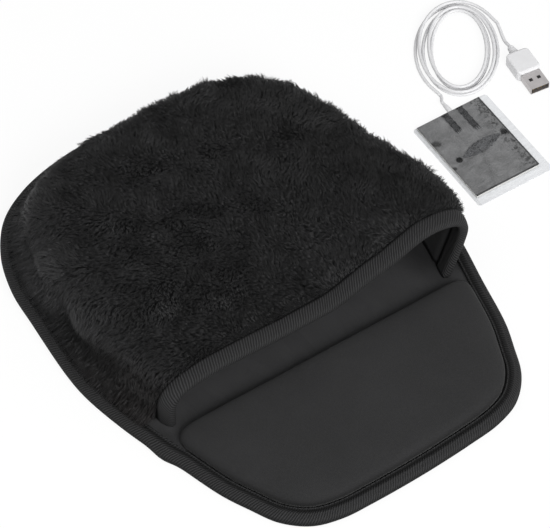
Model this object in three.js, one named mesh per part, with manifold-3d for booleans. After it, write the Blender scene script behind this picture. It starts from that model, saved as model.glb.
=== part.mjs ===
// A heated hand-warming pouch for a computer mouse: a padded base with a wrist cushion, a plush
// cover that arches over the hand, and beside it the flat heating pad on its coiled USB lead.
// Millimetres, +Z up. The origin is the middle of the pouch's underside, and the mouth faces -Y.
import * as THREE from 'three';
import { mergeVertices } from 'three/addons/utils/BufferGeometryUtils.js';
import Module from 'manifold-3d';

const wasm = await Module();
wasm.setup();

// Running gap between neighbouring pieces, and how far a cut runs past the face it opens
const clearance = 0.3;
const overrun = 1;
const weldDistance = 1e-4;
const slopeStep = 1e-4;
const quarterTurn = Math.PI / 2;

// Pouch base
const baseLength = 296;
const baseWidth = 237;
const antislipThickness = 1;
const baseFoamThickness = 4;
const floorLiningThickness = 0.8;
const bindingWidth = 8.5;
const bindingThickness = 0.8;
const bindingLift = 0.2;
const bindingRounding = 1.5;
const outlineSteps = 72;
const fineOutlineSteps = 360;
// How far the mouth and the cushion's back edge slant forward to the right of the middle
const mouthSkew = 3.2;
// Half of the base's outline from the wrist end to the back, as [across, along] shares of its half sizes
const outlineShares = [
  [0, -1], [0.28, -0.994], [0.44, -0.983], [0.58, -0.945], [0.69, -0.862], [0.757, -0.752],
  [0.813, -0.643], [0.882, -0.432], [0.949, -0.23], [0.994, -0.007], [0.995, 0.12], [0.957, 0.4],
  [0.928, 0.57], [0.851, 0.735], [0.713, 0.872], [0.46, 0.966], [0, 1],
];

// Wrist cushion
const cushionBack = -55;
const cushionGroove = 0.6;
const cushionHeight = 8.5;
const cushionCorner = 8;
const cushionFabric = 0.8;
const cushionSteps = 56;
// Rings of the cushion from its foot to its crown, as [size, height] shares
const cushionShares = [
  [0.992, 0], [1, 0.3], [0.99, 0.52], [0.955, 0.72], [0.88, 0.86], [0.7, 0.95], [0.4, 1],
];

// Plush cover
const mouthPlace = -47.7;
const mouthHeight = 27;
const mouthLift = 23;
const mouthFlare = 20;
const coverLean = 8;
const coverHeight = 31.5;
const coverCorner = 104;
const coverInset = 17.5;
const archPower = 5;
const backPower = 5;
const bowPower = 3;
const plushBacking = 0.8;
const plushPile = 6;
const waddingThickness = 2.5;
const waddingPressed = 1.2;
const coverLiningThickness = 0.8;
const ridgeGap = 0.8;
// How far each side of the mouth rises above or sinks below its middle, as [across, lift] shares
const mouthLiftShares = [
  [-1, 0.1], [-0.7, 0.1], [-0.2, 0], [0.144, 0], [0.254, 0.22], [0.364, 0.39], [0.486, 0.54], [0.6, 0.83],
  [0.71, 0.98], [1, 1],
];
const mouthFadeShare = 0.6;
const flareFadeShare = 0.7;
// Lines across the cover from its middle to the ridge, and from the ridge down to the foot
const topAcrossShares = [0, 0.2, 0.4, 0.57, 0.71, 0.82, 0.895, 0.935];
const sideAcrossShares = [0.965, 0.985, 0.996, 1];
// Lines along the cover behind the mouth binding to the back ridge, and from there to the foot
const topAlongShares = [0.16, 0.24, 0.33, 0.42, 0.5, 0.58, 0.66, 0.74, 0.81, 0.87, 0.905];
const backAlongShares = [0.945, 0.975, 0.993, 1];
const pileStart = 2;

// Pocket sewn under the cover's crown for the heating pad
const pocketThickness = 0.8;
const pocketAcrossShare = 0.4;
const pocketFrontShare = 0.16;
const pocketBackShare = 0.74;

// Heating pad: a clear sleeve that holds a felt backing and the heating film
const padGap = 21.5;
const padAlong = 14;
const padTurn = THREE.MathUtils.degToRad(-2.9);
const filmWidth = 43;
const filmLength = 60;
const filmThickness = 0.4;
const sleeveLeftMargin = 1.9;
const sleeveRightMargin = 6.1;
const sleeveBottomMargin = 5.4;
const sleeveTopMargin = 1.6;
const sleeveCorner = 2;
const sleeveSheet = 0.4;
const sleeveSeam = 1.2;
const feltThickness = 1.6;
const foilThickness = 0.2;
const foilWidth = 4;
// Lengths of the two foil strips and places across, as shares of the film's length and width
const foilLengthShares = [0.25, 0.3];
const foilPlaceShares = [-0.065, 0.17];
const rivetRadius = 1.9;
const rivetHead = 0.4;
const rivetShank = 0.9;
// Places of the two rivets from the film's middle, as shares of its width and length
const rivetPlaceShares = [[-0.349, -0.053], [0.428, 0.01]];
const patchGap = 0.9;
const patchWidth = 7.5;
const roundSteps = 20;
const cornerSteps = 4;
const patchSteps = 8;

// Lead and coil
const cordDiameter = 2;
const glandPlace = 1.9;
const glandLength = 6;
const glandTipShare = 0.8;
const wireDiameter = 0.7;
const wireLength = 9;
const wireSpread = 1.2;
const coilAcross = 34.5;
const coilAlong = 33.5;
const coilTurn = THREE.MathUtils.degToRad(-36.1);
const coilOuter = [26, 37];
const coilInner = [15, 29];
const coilStart = THREE.MathUtils.degToRad(235);
const coilWind = THREE.MathUtils.degToRad(1637);
const coilLoopSteps = 24;
const coilSides = 6;
const coilLayerGap = 0.5;
const tubeSides = 8;
const padTailSteps = 10;
const plugTailSteps = 14;

// Plug: the standard USB type A sizes
const plugAcross = 23;
const plugAlong = -24;
const plugTurn = THREE.MathUtils.degToRad(-99);
const plugHeight = 4;
const gripLength = 17;
const gripWidth = 15;
const gripDepth = 8;
const gripCorner = 3;
const gripBevel = 1.2;
const gripBevelSteps = 2;
const gripCornerSteps = 5;
const reliefLength = 6;
const reliefRadius = 2.6;
const reliefTip = 1.5;
const reliefRib = 0.35;
const reliefRibs = 3;
const reliefRibShare = 0.6;
const shellLength = 11.75;
const shellWidth = 12;
const shellDepth = 4.5;
const shellWall = 0.35;
const windowSize = 2.2;
const windowPlace = 5.2;
const windowSpread = 2.6;
const tongueWidth = 10.7;
const tongueDepth = 1.5;
const tongueSetback = 1.2;
const contactWidth = 1;
const contactLength = 7.5;
const contactDepth = 0.2;
const contactPitch = 2.4;
const contactCount = 4;

// Sizes and places of the heating pad, and from it the coil's and the plug's
const sleeveWidth = sleeveLeftMargin + filmWidth + sleeveRightMargin;
const sleeveLength = sleeveBottomMargin + filmLength + sleeveTopMargin;
const filmPlace = [
  (sleeveLeftMargin - sleeveRightMargin) / 2, (sleeveBottomMargin - sleeveTopMargin) / 2];
const foilLengths = foilLengthShares.map((share) => share * filmLength);
const rivetPlaces = rivetPlaceShares.map(([across, up]) => [across * filmWidth, up * filmLength]);
const padPlace = [baseWidth / 2 + padGap + sleeveWidth / 2, padAlong];
const coilPlace = [padPlace[0] + coilAcross, padPlace[1] + sleeveLength / 2 + coilAlong];
const plugPlace = [coilPlace[0] + plugAcross, coilPlace[1] + plugAlong];

// Levels of the base's layers
const baseFoamLevel = antislipThickness + clearance;
const floorLiningLevel = baseFoamLevel + baseFoamThickness + clearance;
const baseTop = floorLiningLevel + floorLiningThickness;
const bindingTop = baseTop + clearance + bindingThickness;
const seatLevel = baseTop + clearance;

// Turns loose or welded triangles into one closed body whose faces point outwards
function body(positions, faces) {
  const geometry = new THREE.BufferGeometry();
  geometry.setAttribute('position', new THREE.Float32BufferAttribute(positions, 3));
  const corner = (index) => new THREE.Vector3().fromArray(positions, 3 * index);
  let volume = 0;
  for (const [a, b, c] of faces) volume += corner(a).dot(corner(b).cross(corner(c)));
  geometry.setIndex(faces.flatMap(([a, b, c]) => (volume < 0 ? [a, c, b] : [a, b, c])));
  return geometry;
}

function welded(geometry) {
  const copy = geometry.clone();
  copy.deleteAttribute('normal');
  copy.deleteAttribute('uv');
  return mergeVertices(copy, weldDistance);
}

function solid(geometry) {
  const { position } = welded(geometry).attributes;
  const index = welded(geometry).getIndex();
  return new wasm.Manifold(new wasm.Mesh({
    numProp: 3,
    vertProperties: new Float32Array(position.array),
    triVerts: new Uint32Array(index.array),
  }));
}

function unsolid(manifold) {
  const mesh = manifold.getMesh();
  const geometry = new THREE.BufferGeometry();
  geometry.setAttribute('position', new THREE.BufferAttribute(mesh.vertProperties, mesh.numProp));
  geometry.setIndex(new THREE.BufferAttribute(mesh.triVerts, 1));
  return geometry;
}

function cut(geometry, ...tools) {
  return unsolid(tools.reduce((left, tool) => left.subtract(solid(tool)), solid(geometry)));
}

// Skins a row of equal sections: round and back to the first, or with a flat lid at each end
function sweep(sections, ring) {
  const count = sections[0].length;
  const faces = [];
  const last = ring ? sections.length : sections.length - 1;
  for (let row = 0; row < last; row += 1) {
    const next = (row + 1) % sections.length;
    for (let step = 0; step < count; step += 1) {
      const after = (step + 1) % count;
      const [a, b] = [row * count + step, row * count + after];
      const [c, d] = [next * count + after, next * count + step];
      faces.push([a, b, c], [a, c, d]);
    }
  }
  if (!ring) faces.push(...lids(sections));
  return body(sections.flat().flatMap((point) => point.toArray()), faces);
}

function lids(sections) {
  const count = sections[0].length;
  const [first] = sections;
  const normal = first.reduce(
    (sum, point, step) => sum.add(new THREE.Vector3().crossVectors(point, first[(step + 1) % count])),
    new THREE.Vector3(),
  ).normalize();
  const across = new THREE.Vector3().subVectors(first[1], first[0]).projectOnPlane(normal).normalize();
  const up = new THREE.Vector3().crossVectors(normal, across);
  const flat = first.map((point) => new THREE.Vector2(point.dot(across), point.dot(up)));
  const triangles = THREE.ShapeUtils.triangulateShape(flat, []);
  const base = (sections.length - 1) * count;
  return triangles.flatMap(([a, b, c]) => [[a, c, b], [base + a, base + b, base + c]]);
}

function box(width, length, depth, x, y, z) {
  return new THREE.BoxGeometry(width, length, depth).translate(x, y, z);
}

// The base's outline, and the same line drawn in by an even inset all round
const outlineCurve = (() => {
  const half = outlineShares.map(([x, y]) => new THREE.Vector3(x * baseWidth / 2, y * baseLength / 2, 0));
  const other = half.slice(1, -1).reverse().map(({ x, y }) => new THREE.Vector3(-x, y, 0));
  const curve = new THREE.CatmullRomCurve3([...half, ...other], true, 'centripetal');
  curve.arcLengthDivisions = fineOutlineSteps;
  return curve;
})();

function insetOutline(inset, steps = outlineSteps) {
  const line = outlineCurve.getSpacedPoints(steps).slice(0, -1);
  return line.map((point, step) => {
    const before = line[(step + steps - 1) % steps];
    const after = line[(step + 1) % steps];
    const ahead = new THREE.Vector3().subVectors(after, before).normalize();
    return new THREE.Vector3(point.x - ahead.y * inset, point.y + ahead.x * inset, 0);
  });
}

function plate(points, bottom, thickness) {
  const shape = new THREE.Shape(points.map(({ x, y }) => new THREE.Vector2(x, y)));
  return new THREE.ExtrudeGeometry(shape, { depth: thickness, bevelEnabled: false }).translate(0, 0, bottom);
}

// The tape folded round the base's edge, as an [inset, level] section
function bindingSection() {
  const low = bindingLift;
  const inner = bindingThickness;
  return [
    [0, low + bindingRounding], [0, bindingTop - bindingRounding], [bindingRounding, bindingTop],
    [bindingWidth, bindingTop], [bindingWidth, bindingTop - bindingThickness],
    [inner, bindingTop - bindingThickness], [inner, low + bindingThickness],
    [bindingWidth, low + bindingThickness], [bindingWidth, low], [bindingRounding, low],
  ];
}

function baseBinding() {
  const loops = bindingSection().map(([inset, level]) => insetOutline(inset).map((p) => p.setZ(level)));
  return sweep(loops[0].map((_, step) => loops.map((loop) => loop[step])), true);
}

// Half widths of a line round the base, as [along, half width] rows
const halfWidths = (line) => line.filter(({ x }) => x >= 0).map(({ x, y }) => [y, x])
  .sort(([a], [b]) => a - b);

// The wrist cushion's outline: beside the binding in front, straight and slanted across at its back
function cushionOutline(inset) {
  const edge = insetOutline(bindingWidth + cushionGroove + inset);
  const back = cushionBack - inset;
  const wide = along(halfWidths(edge), back);
  const [leftCorner, rightCorner] = [-1, 1].map((side) => (
    new THREE.Vector2(side * wide, back - side * mouthSkew)));
  const left = edge.filter(({ x, y }) => x < 0 && y < leftCorner.y - cushionCorner);
  const right = edge.filter(({ x, y }) => x >= 0 && y < rightCorner.y - cushionCorner);
  const front = [...left, ...right].map(({ x, y }) => new THREE.Vector2(x, y));
  const path = new THREE.Path();
  path.moveTo(front[0].x, front[0].y);
  path.splineThru(front.slice(1));
  path.quadraticCurveTo(rightCorner.x, rightCorner.y, rightCorner.x - cushionCorner, rightCorner.y);
  path.lineTo(leftCorner.x + cushionCorner, leftCorner.y);
  path.quadraticCurveTo(leftCorner.x, leftCorner.y, front[0].x, front[0].y);
  return path.getSpacedPoints(cushionSteps).slice(0, -1);
}

// Rings of a crowned pad on its outline, drawn in by an inset and lowered by the same depth
function cushionRings(inset) {
  const points = cushionOutline(inset);
  const middle = new THREE.Vector2();
  points.forEach((point) => middle.add(point));
  middle.divideScalar(points.length);
  return cushionShares.map(([size, height]) => points.map((point) => {
    const place = middle.clone().lerp(point, size);
    return new THREE.Vector3(place.x, place.y, seatLevel + height * (cushionHeight - inset));
  }));
}

// Skins rings from an outer foot to a crown, and either closes the foot or turns it into a lining
function crowned(rings, liningRings) {
  const count = rings[0].length;
  const points = rings.flat();
  const faces = [];
  const skin = (from, rows) => {
    for (let row = 0; row < rows - 1; row += 1) {
      for (let step = 0; step < count; step += 1) {
        const after = (step + 1) % count;
        const [a, b] = [from + row * count + step, from + row * count + after];
        faces.push([a, b, b + count], [a, b + count, a + count]);
      }
    }
    const crown = points.push(middleOf(points.slice(from + (rows - 1) * count, from + rows * count))) - 1;
    for (let step = 0; step < count; step += 1) {
      faces.push([from + (rows - 1) * count + step, from + (rows - 1) * count + (step + 1) % count, crown]);
    }
  };
  skin(0, rings.length);
  if (liningRings) {
    const from = points.length;
    points.push(...liningRings.flat());
    const start = faces.length;
    skin(from, liningRings.length);
    for (let face = start; face < faces.length; face += 1) faces[face].reverse();
    for (let step = 0; step < count; step += 1) {
      const after = (step + 1) % count;
      faces.push([step, from + step, from + after], [step, from + after, after]);
    }
  } else {
    const foot = points.push(middleOf(rings[0])) - 1;
    for (let step = 0; step < count; step += 1) faces.push([(step + 1) % count, step, foot]);
  }
  return body(points.flatMap((point) => point.toArray()), faces);
}

function middleOf(points) {
  return points.reduce((sum, point) => sum.add(point), new THREE.Vector3()).divideScalar(points.length);
}

// Reads a table of [place, value] shares in straight runs
function along(table, place) {
  const next = Math.max(1, table.findIndex(([start]) => start >= place));
  const [[from, low], [to, high]] = [table[next - 1], table[next]];
  return THREE.MathUtils.mapLinear(THREE.MathUtils.clamp(place, from, to), from, to, low, high);
}

// Where the cover's foot line lies: its half width at a place along, and its back at a place across
const footLine = insetOutline(coverInset, fineOutlineSteps);
const footSide = halfWidths(footLine);
const footBack = footLine.filter(({ y }) => y > coverCorner / 2).map(({ x, y }) => [x, y])
  .sort(([a], [b]) => a - b);
const coverLength = coverCorner - mouthPlace;

const smooth = (share) => THREE.MathUtils.smoothstep(share, 0, 1);

// A point on the cover's middle surface: turn runs from -1 to 1 over the arch, behind is measured
// from the mouth. The arch and the back both close as flattened ellipses.
function coverPoint(turn, behind) {
  const angle = turn * quarterTurn;
  const wide = Math.sign(turn) * Math.abs(Math.sin(angle)) ** (2 / archPower);
  const tall = Math.abs(turn) === 1 ? 0 : Math.cos(angle) ** (2 / archPower);
  const share = Math.min(behind / coverLength, 1);
  const deep = Math.max(0, 1 - Math.max(share, 0) ** backPower) ** (1 / backPower);
  const station = mouthPlace + behind;
  const front = 1 - smooth(share / mouthFadeShare);
  const height = THREE.MathUtils.lerp(coverHeight, mouthHeight, front)
    + mouthLift * along(mouthLiftShares, wide) * front;
  const reach = THREE.MathUtils.lerp(mouthFlare, coverLean, smooth(share / flareFadeShare));
  const flare = reach * Math.max(wide, 0) * tall * deep;
  const skewed = station - mouthSkew * wide * front;
  const foot = wide * along(footSide, skewed);
  const y = skewed + Math.max(share, 0) ** bowPower * (along(footBack, foot) - coverCorner);
  return new THREE.Vector3(foot + flare, y, seatLevel + height * tall * deep);
}

// The cover's outward direction there, level along the foot
function coverNormal(turn, behind) {
  const step = coverLength * slopeStep;
  const [low, high] = [Math.max(turn - slopeStep, -1), Math.min(turn + slopeStep, 1)];
  const back = Math.min(behind + step, coverLength);
  const over = new THREE.Vector3().subVectors(coverPoint(high, behind), coverPoint(low, behind));
  const away = new THREE.Vector3().subVectors(coverPoint(turn, back), coverPoint(turn, back - 2 * step));
  if (Math.abs(turn) === 1) return new THREE.Vector3(away.y * turn, -away.x * turn, 0).normalize();
  if (behind >= coverLength) return new THREE.Vector3(-over.y, over.x, 0).normalize();
  return over.cross(away).normalize();
}

const turnOf = (wide) => Math.asin(wide ** (archPower / 2)) / quarterTurn;

// Lines of the cover's grid, with a pair of close lines where the top panel meets the side band
const ridgeAcross = topAcrossShares[topAcrossShares.length - 1];
const ridgeAlong = topAlongShares[topAlongShares.length - 1];
const ridgeTurn = turnOf(ridgeAcross);
const outerRidgeTurn = turnOf(ridgeAcross + 2 * ridgeGap / baseWidth);
const ridgeBehind = ridgeAlong * coverLength;
const halfTurns = [...topAcrossShares.map(turnOf), outerRidgeTurn, ...sideAcrossShares.map(turnOf)];
const turns = [...halfTurns.slice(1).map((turn) => -turn).reverse(), ...halfTurns];
const behinds = [
  0, bindingWidth / 2, bindingWidth + clearance, bindingWidth + pileStart,
  ...topAlongShares.map((share) => share * coverLength),
  ridgeBehind + ridgeGap,
  ...backAlongShares.map((share) => share * coverLength),
];

const inBinding = (behind) => behind < bindingWidth + pileStart;
const waddingAt = (behind) => (inBinding(behind) ? waddingPressed : waddingThickness);
const plushAt = (behind) => (inBinding(behind) ? plushBacking : plushPile);

// A slab between two depths of the cover over the cells of the grid that belong to it. Its edge
// walls are split alike on both sides of a seam, so that neighbouring slabs stay parallel there.
function coverSlab(outer, inner, belongs = () => true) {
  const points = [];
  const faces = [];
  const columns = behinds.length;
  const place = (row, column, depth) => {
    const [turn, behind] = [turns[row], behinds[column]];
    return coverPoint(turn, behind).addScaledVector(coverNormal(turn, behind), depth(behind));
  };
  for (const depth of [outer, inner]) {
    for (let row = 0; row < turns.length; row += 1) {
      for (let column = 0; column < columns; column += 1) points.push(place(row, column, depth));
    }
  }
  const under = turns.length * columns;
  const edges = new Map();
  for (let row = 0; row < turns.length - 1; row += 1) {
    for (let column = 0; column < columns - 1; column += 1) {
      if (!belongs(turns[row], turns[row + 1], behinds[column], behinds[column + 1])) continue;
      const [a, b] = [row * columns + column, (row + 1) * columns + column];
      const corners = [a, b, b + 1, a + 1];
      faces.push([a, b, b + 1], [a, b + 1, a + 1]);
      faces.push([under + a, under + b + 1, under + b], [under + a, under + a + 1, under + b + 1]);
      corners.forEach((from, side) => {
        const to = corners[(side + 1) % corners.length];
        if (!edges.delete(`${to} ${from}`)) edges.set(`${from} ${to}`, [from, to]);
      });
    }
  }
  for (const [from, to] of edges.values()) {
    const walls = from < to
      ? [[to, from, under + from], [to, under + from, under + to]]
      : [[to, from, under + to], [from, under + from, under + to]];
    faces.push(...walls);
  }
  return used(points, faces);
}

// Drops the points that no face uses
function used(points, faces) {
  const kept = [...new Set(faces.flat())];
  const renamed = new Map(kept.map((old, now) => [old, now]));
  return body(
    kept.flatMap((old) => points[old].toArray()),
    faces.map((face) => face.map((old) => renamed.get(old))),
  );
}

// Which cells are the top panel's, and which lie in the gap along the ridge
const onTop = (low, high, front, back) => (
  low >= -ridgeTurn && high <= ridgeTurn && back <= ridgeBehind);
const besideTop = (low, high) => (
  Math.min(Math.abs(low), Math.abs(high)) === ridgeTurn
  && Math.max(Math.abs(low), Math.abs(high)) === outerRidgeTurn);
const onRidge = (low, high, front, back) => (
  (besideTop(low, high) && back <= ridgeBehind + ridgeGap)
  || (front === ridgeBehind && low >= -ridgeTurn && high <= ridgeTurn));

function plushTopPanel() {
  return coverSlab((behind) => clearance + plushAt(behind), () => clearance, onTop);
}

function plushSideBand() {
  const belongs = (...cell) => !onTop(...cell) && !onRidge(...cell);
  return coverSlab((behind) => clearance + plushAt(behind), () => clearance, belongs);
}

function coverWadding() {
  return coverSlab(() => 0, (behind) => -waddingAt(behind));
}

function coverLining() {
  const top = (behind) => -waddingAt(behind) - clearance;
  return coverSlab(top, (behind) => top(behind) - coverLiningThickness);
}

function heaterPocket() {
  const top = (behind) => -waddingAt(behind) - 2 * clearance - coverLiningThickness;
  const [edge, front, back] = [
    turnOf(pocketAcrossShare), pocketFrontShare * coverLength, pocketBackShare * coverLength];
  const belongs = (low, high, start, end) => low >= -edge && high <= edge && start >= front && end <= back;
  return coverSlab(top, (behind) => top(behind) - pocketThickness, belongs);
}

// The tape folded over the mouth's edge, swept from foot to foot as a [behind, depth] section
function mouthBinding() {
  const outer = clearance + plushBacking + clearance;
  const inner = -waddingPressed - coverLiningThickness - 2 * clearance;
  const front = -clearance - bindingThickness;
  const section = [
    [bindingWidth, outer], [bindingWidth, outer + bindingThickness], [front / 2, outer + bindingThickness],
    [front, outer], [front, inner], [front / 2, inner - bindingThickness],
    [bindingWidth, inner - bindingThickness], [bindingWidth, inner], [-clearance, inner],
    [-clearance, outer],
  ];
  return sweep(turns.map((turn) => section.map(([behind, depth]) => (
    coverPoint(turn, behind).addScaledVector(coverNormal(turn, behind), depth)))), false);
}

function roundedShape(width, length, corner) {
  const [right, top] = [width / 2 - corner, length / 2 - corner];
  const shape = new THREE.Shape();
  shape.absarc(right, top, corner, 0, quarterTurn);
  shape.absarc(-right, top, corner, quarterTurn, 2 * quarterTurn);
  shape.absarc(-right, -top, corner, 2 * quarterTurn, 3 * quarterTurn);
  shape.absarc(right, -top, corner, 3 * quarterTurn, 4 * quarterTurn);
  return shape;
}

// A flat piece with rounded corners, its middle over the origin
function roundedPlate(width, length, depth, corner, bottom) {
  const options = { depth, bevelEnabled: false, curveSegments: cornerSteps };
  return new THREE.ExtrudeGeometry(roundedShape(width, length, corner), options).translate(0, 0, bottom);
}

// Levels and places inside the sleeve, from its back sheet up
const feltLevel = sleeveSheet + clearance;
const filmLevel = feltLevel + feltThickness + clearance;
const foilLevel = filmLevel + filmThickness + clearance;
const frontLevel = foilLevel + rivetHead + clearance;
const sleeveTop = frontLevel + sleeveSheet;
const sleeveEnd = sleeveLength / 2;
const glandX = filmPlace[0] + glandPlace;
const glandRadius = (frontLevel - sleeveSheet) / 2 - clearance;
const glandHeight = (frontLevel + sleeveSheet) / 2;
const glandStart = sleeveEnd - sleeveSeam - clearance;

function sleeveFront() {
  const outer = roundedPlate(
    sleeveWidth, sleeveLength, sleeveTop - sleeveSheet - clearance, sleeveCorner, sleeveSheet + clearance);
  const hollow = box(
    sleeveWidth - 2 * sleeveSeam, sleeveLength - 2 * sleeveSeam, frontLevel, 0, 0, frontLevel / 2);
  const slotWidth = 2 * (glandRadius + clearance);
  const slot = box(slotWidth, 2 * (sleeveSeam + overrun), 2 * frontLevel, glandX, sleeveEnd, 0);
  return cut(outer, hollow, slot);
}

function heatingFilm() {
  const film = box(
    filmWidth, filmLength, filmThickness, filmPlace[0], filmPlace[1], filmLevel + filmThickness / 2);
  const holes = rivetPlaces.map(([x, y]) => (
    new THREE.CylinderGeometry(
      rivetShank + clearance, rivetShank + clearance, filmThickness + 2 * overrun, roundSteps)
      .rotateX(quarterTurn)
      .translate(filmPlace[0] + x, filmPlace[1] + y, filmLevel)));
  return cut(film, ...holes);
}

function rivet([x, y]) {
  const profile = [
    [0, filmLevel], [rivetShank, filmLevel], [rivetShank, foilLevel], [rivetRadius, foilLevel],
    [rivetRadius, foilLevel + rivetHead / 2], [rivetRadius - rivetHead / 2, foilLevel + rivetHead],
    [0, foilLevel + rivetHead],
  ].map(([radius, level]) => new THREE.Vector2(radius, level));
  return new THREE.LatheGeometry(profile, roundSteps).rotateX(quarterTurn)
    .translate(filmPlace[0] + x, filmPlace[1] + y, 0);
}

function leadFoil(which) {
  const length = foilLengths[which];
  const top = filmPlace[1] + filmLength / 2 - clearance;
  return box(
    foilWidth, length, foilThickness,
    filmPlace[0] + foilPlaceShares[which] * filmWidth, top - length / 2, foilLevel + foilThickness / 2);
}

// A lens-shaped patch whose long axis runs from rivet to rivet
function bondingPatch() {
  const [left, right] = rivetPlaces.map(([x, y]) => new THREE.Vector2(x, y));
  const end = left.distanceTo(right) / 2 - rivetRadius - patchGap;
  const middle = left.clone().lerp(right, 1 / 2);
  const shape = new THREE.Shape();
  shape.moveTo(-end, 0);
  shape.quadraticCurveTo(0, patchWidth, end, 0);
  shape.quadraticCurveTo(0, -patchWidth, -end, 0);
  const options = { depth: foilThickness, bevelEnabled: false, curveSegments: patchSteps };
  return new THREE.ExtrudeGeometry(shape, options)
    .rotateZ(right.clone().sub(left).angle())
    .translate(filmPlace[0] + middle.x, filmPlace[1] + middle.y, foilLevel);
}

function cordGland() {
  const profile = [
    [0, 0], [glandRadius, 0], [glandRadius, glandLength / 2],
    [glandRadius * glandTipShare, glandLength], [0, glandLength],
  ].map(([radius, level]) => new THREE.Vector2(radius, level));
  return new THREE.LatheGeometry(profile, roundSteps).translate(glandX, glandStart, glandHeight);
}

// A tube of one radius along a route, with level sections square to it
function tube(points, radius, sides) {
  const sections = points.map((point, step) => {
    const before = points[Math.max(step - 1, 0)];
    const after = points[Math.min(step + 1, points.length - 1)];
    const ahead = new THREE.Vector3().subVectors(after, before).normalize();
    const side = new THREE.Vector3(ahead.y, -ahead.x, 0).normalize();
    const up = new THREE.Vector3().crossVectors(side, ahead);
    return Array.from({ length: sides }, (_, turn) => {
      const angle = (2 * Math.PI * (turn + 0.5)) / sides;
      return point.clone()
        .addScaledVector(side, radius * Math.cos(angle))
        .addScaledVector(up, radius * Math.sin(angle));
    });
  });
  return sweep(sections, false);
}

function routeTube(route, diameter, steps) {
  const curve = new THREE.CatmullRomCurve3(route.map((place) => new THREE.Vector3(...place)));
  const circle = new THREE.Shape(Array.from({ length: tubeSides }, (_, turn) => {
    const angle = (2 * Math.PI * (turn + 0.5)) / tubeSides;
    return new THREE.Vector2(Math.cos(angle), Math.sin(angle)).multiplyScalar(diameter / 2);
  }));
  return new THREE.ExtrudeGeometry(circle, { steps, extrudePath: curve, bevelEnabled: false });
}

// The coil spirals in on the floor and out again on top, and climbs where it turns back
const coilSteps = Math.round((coilWind / (2 * Math.PI)) * coilLoopSteps);
function coilPoint(share) {
  const inward = 1 - Math.abs(1 - 2 * share);
  const angle = coilStart - share * coilWind;
  const half = Math.PI / coilWind;
  const climb = smooth((share - (1 - half) / 2) / half);
  const across = THREE.MathUtils.lerp(coilOuter[0], coilInner[0], inward) * Math.cos(angle);
  const upward = THREE.MathUtils.lerp(coilOuter[1], coilInner[1], inward) * Math.sin(angle);
  return new THREE.Vector3(
    coilPlace[0] + across * Math.cos(coilTurn) - upward * Math.sin(coilTurn),
    coilPlace[1] + across * Math.sin(coilTurn) + upward * Math.cos(coilTurn),
    cordDiameter / 2 + climb * (cordDiameter + coilLayerGap),
  );
}

const coilRoute = (() => {
  const points = Array.from({ length: coilSteps + 1 }, (_, step) => coilPoint(step / coilSteps));
  const reach = (end, inner) => end.clone().add(
    new THREE.Vector3().subVectors(end, inner).setZ(0).setLength(cordDiameter));
  return [
    reach(points[0], points[1]), ...points,
    reach(points[coilSteps], points[coilSteps - 1]),
  ];
})();

// The least gap between the coil's turns, measured on its points
const coilGap = coilRoute.reduce((least, point, step) => {
  const others = coilRoute.slice(step + coilLoopSteps / 2);
  return Math.min(least, ...others.map((other) => point.distanceTo(other) - cordDiameter));
}, Infinity);
console.log(`least gap between the coil's turns ${coilGap.toFixed(2)} mm`);

// Places on the heating pad and on the plug, in the frame of the whole part
function placed([x, y], turn, along, across, level) {
  return [
    x + along * Math.cos(turn) - across * Math.sin(turn),
    y + along * Math.sin(turn) + across * Math.cos(turn),
    level,
  ];
}

const glandEnd = glandStart + glandLength + clearance;
const onPad = (along, across, level) => placed(padPlace, padTurn, along, across, level);
const onPlug = (along, level) => placed(plugPlace, plugTurn, along, 0, level);

// Straight on from the coil's end, by a distance and at a level
function pastCoil(end, inner, distance, level) {
  const way = new THREE.Vector3().subVectors(end, inner).setZ(0).setLength(distance);
  return end.clone().add(way).setZ(level).toArray();
}

function cordAtPad() {
  const [end, inner] = coilRoute;
  const floor = cordDiameter / 2;
  return routeTube([
    onPad(glandX, glandEnd, glandHeight),
    onPad(glandX, glandEnd + cordDiameter, glandHeight),
    pastCoil(end, inner, 2 * cordDiameter, floor),
    pastCoil(end, inner, cordDiameter + clearance, floor),
    pastCoil(end, inner, clearance, floor),
  ], cordDiameter, padTailSteps);
}

function cordAtPlug() {
  const [inner, end] = coilRoute.slice(-2);
  const high = end.z;
  const rear = -reliefLength - 2 * clearance;
  return routeTube([
    pastCoil(end, inner, clearance, high),
    pastCoil(end, inner, cordDiameter + clearance, high),
    onPlug(rear - 3 * cordDiameter, plugHeight - cordDiameter / 2),
    onPlug(rear - cordDiameter, plugHeight),
    onPlug(rear, plugHeight),
  ], cordDiameter, plugTailSteps);
}

// The two cores of the cord, which run on from the gland in a notch of the felt
function leadWire(which) {
  const x = glandX + (which - 1 / 2) * wireSpread;
  const start = glandStart - clearance;
  return tube([start - wireLength, start].map((y) => (
    new THREE.Vector3(x, y, feltLevel + feltThickness / 2))), wireDiameter / 2, tubeSides);
}

function feltBacking() {
  const level = feltLevel + feltThickness / 2;
  const felt = box(filmWidth, filmLength, feltThickness, ...filmPlace, level);
  const notchWidth = wireSpread + wireDiameter + 2 * clearance;
  const notchLength = 2 * (wireLength + clearance);
  const end = filmPlace[1] + filmLength / 2;
  return cut(felt, box(notchWidth, notchLength, feltThickness + 2 * overrun, glandX, end, level));
}

// The plug's pieces run along +X from the middle of the grip's rear face
function plugGrip() {
  const [width, length] = [gripWidth - 2 * gripBevel, gripLength - 2 * gripBevel];
  const shape = roundedShape(length, width, gripCorner - gripBevel);
  return new THREE.ExtrudeGeometry(shape, {
    depth: gripDepth - 2 * gripBevel,
    bevelThickness: gripBevel,
    bevelSize: gripBevel,
    bevelSegments: gripBevelSteps,
    curveSegments: gripCornerSteps,
  }).translate(gripLength / 2, 0, gripBevel - gripDepth / 2);
}

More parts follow.
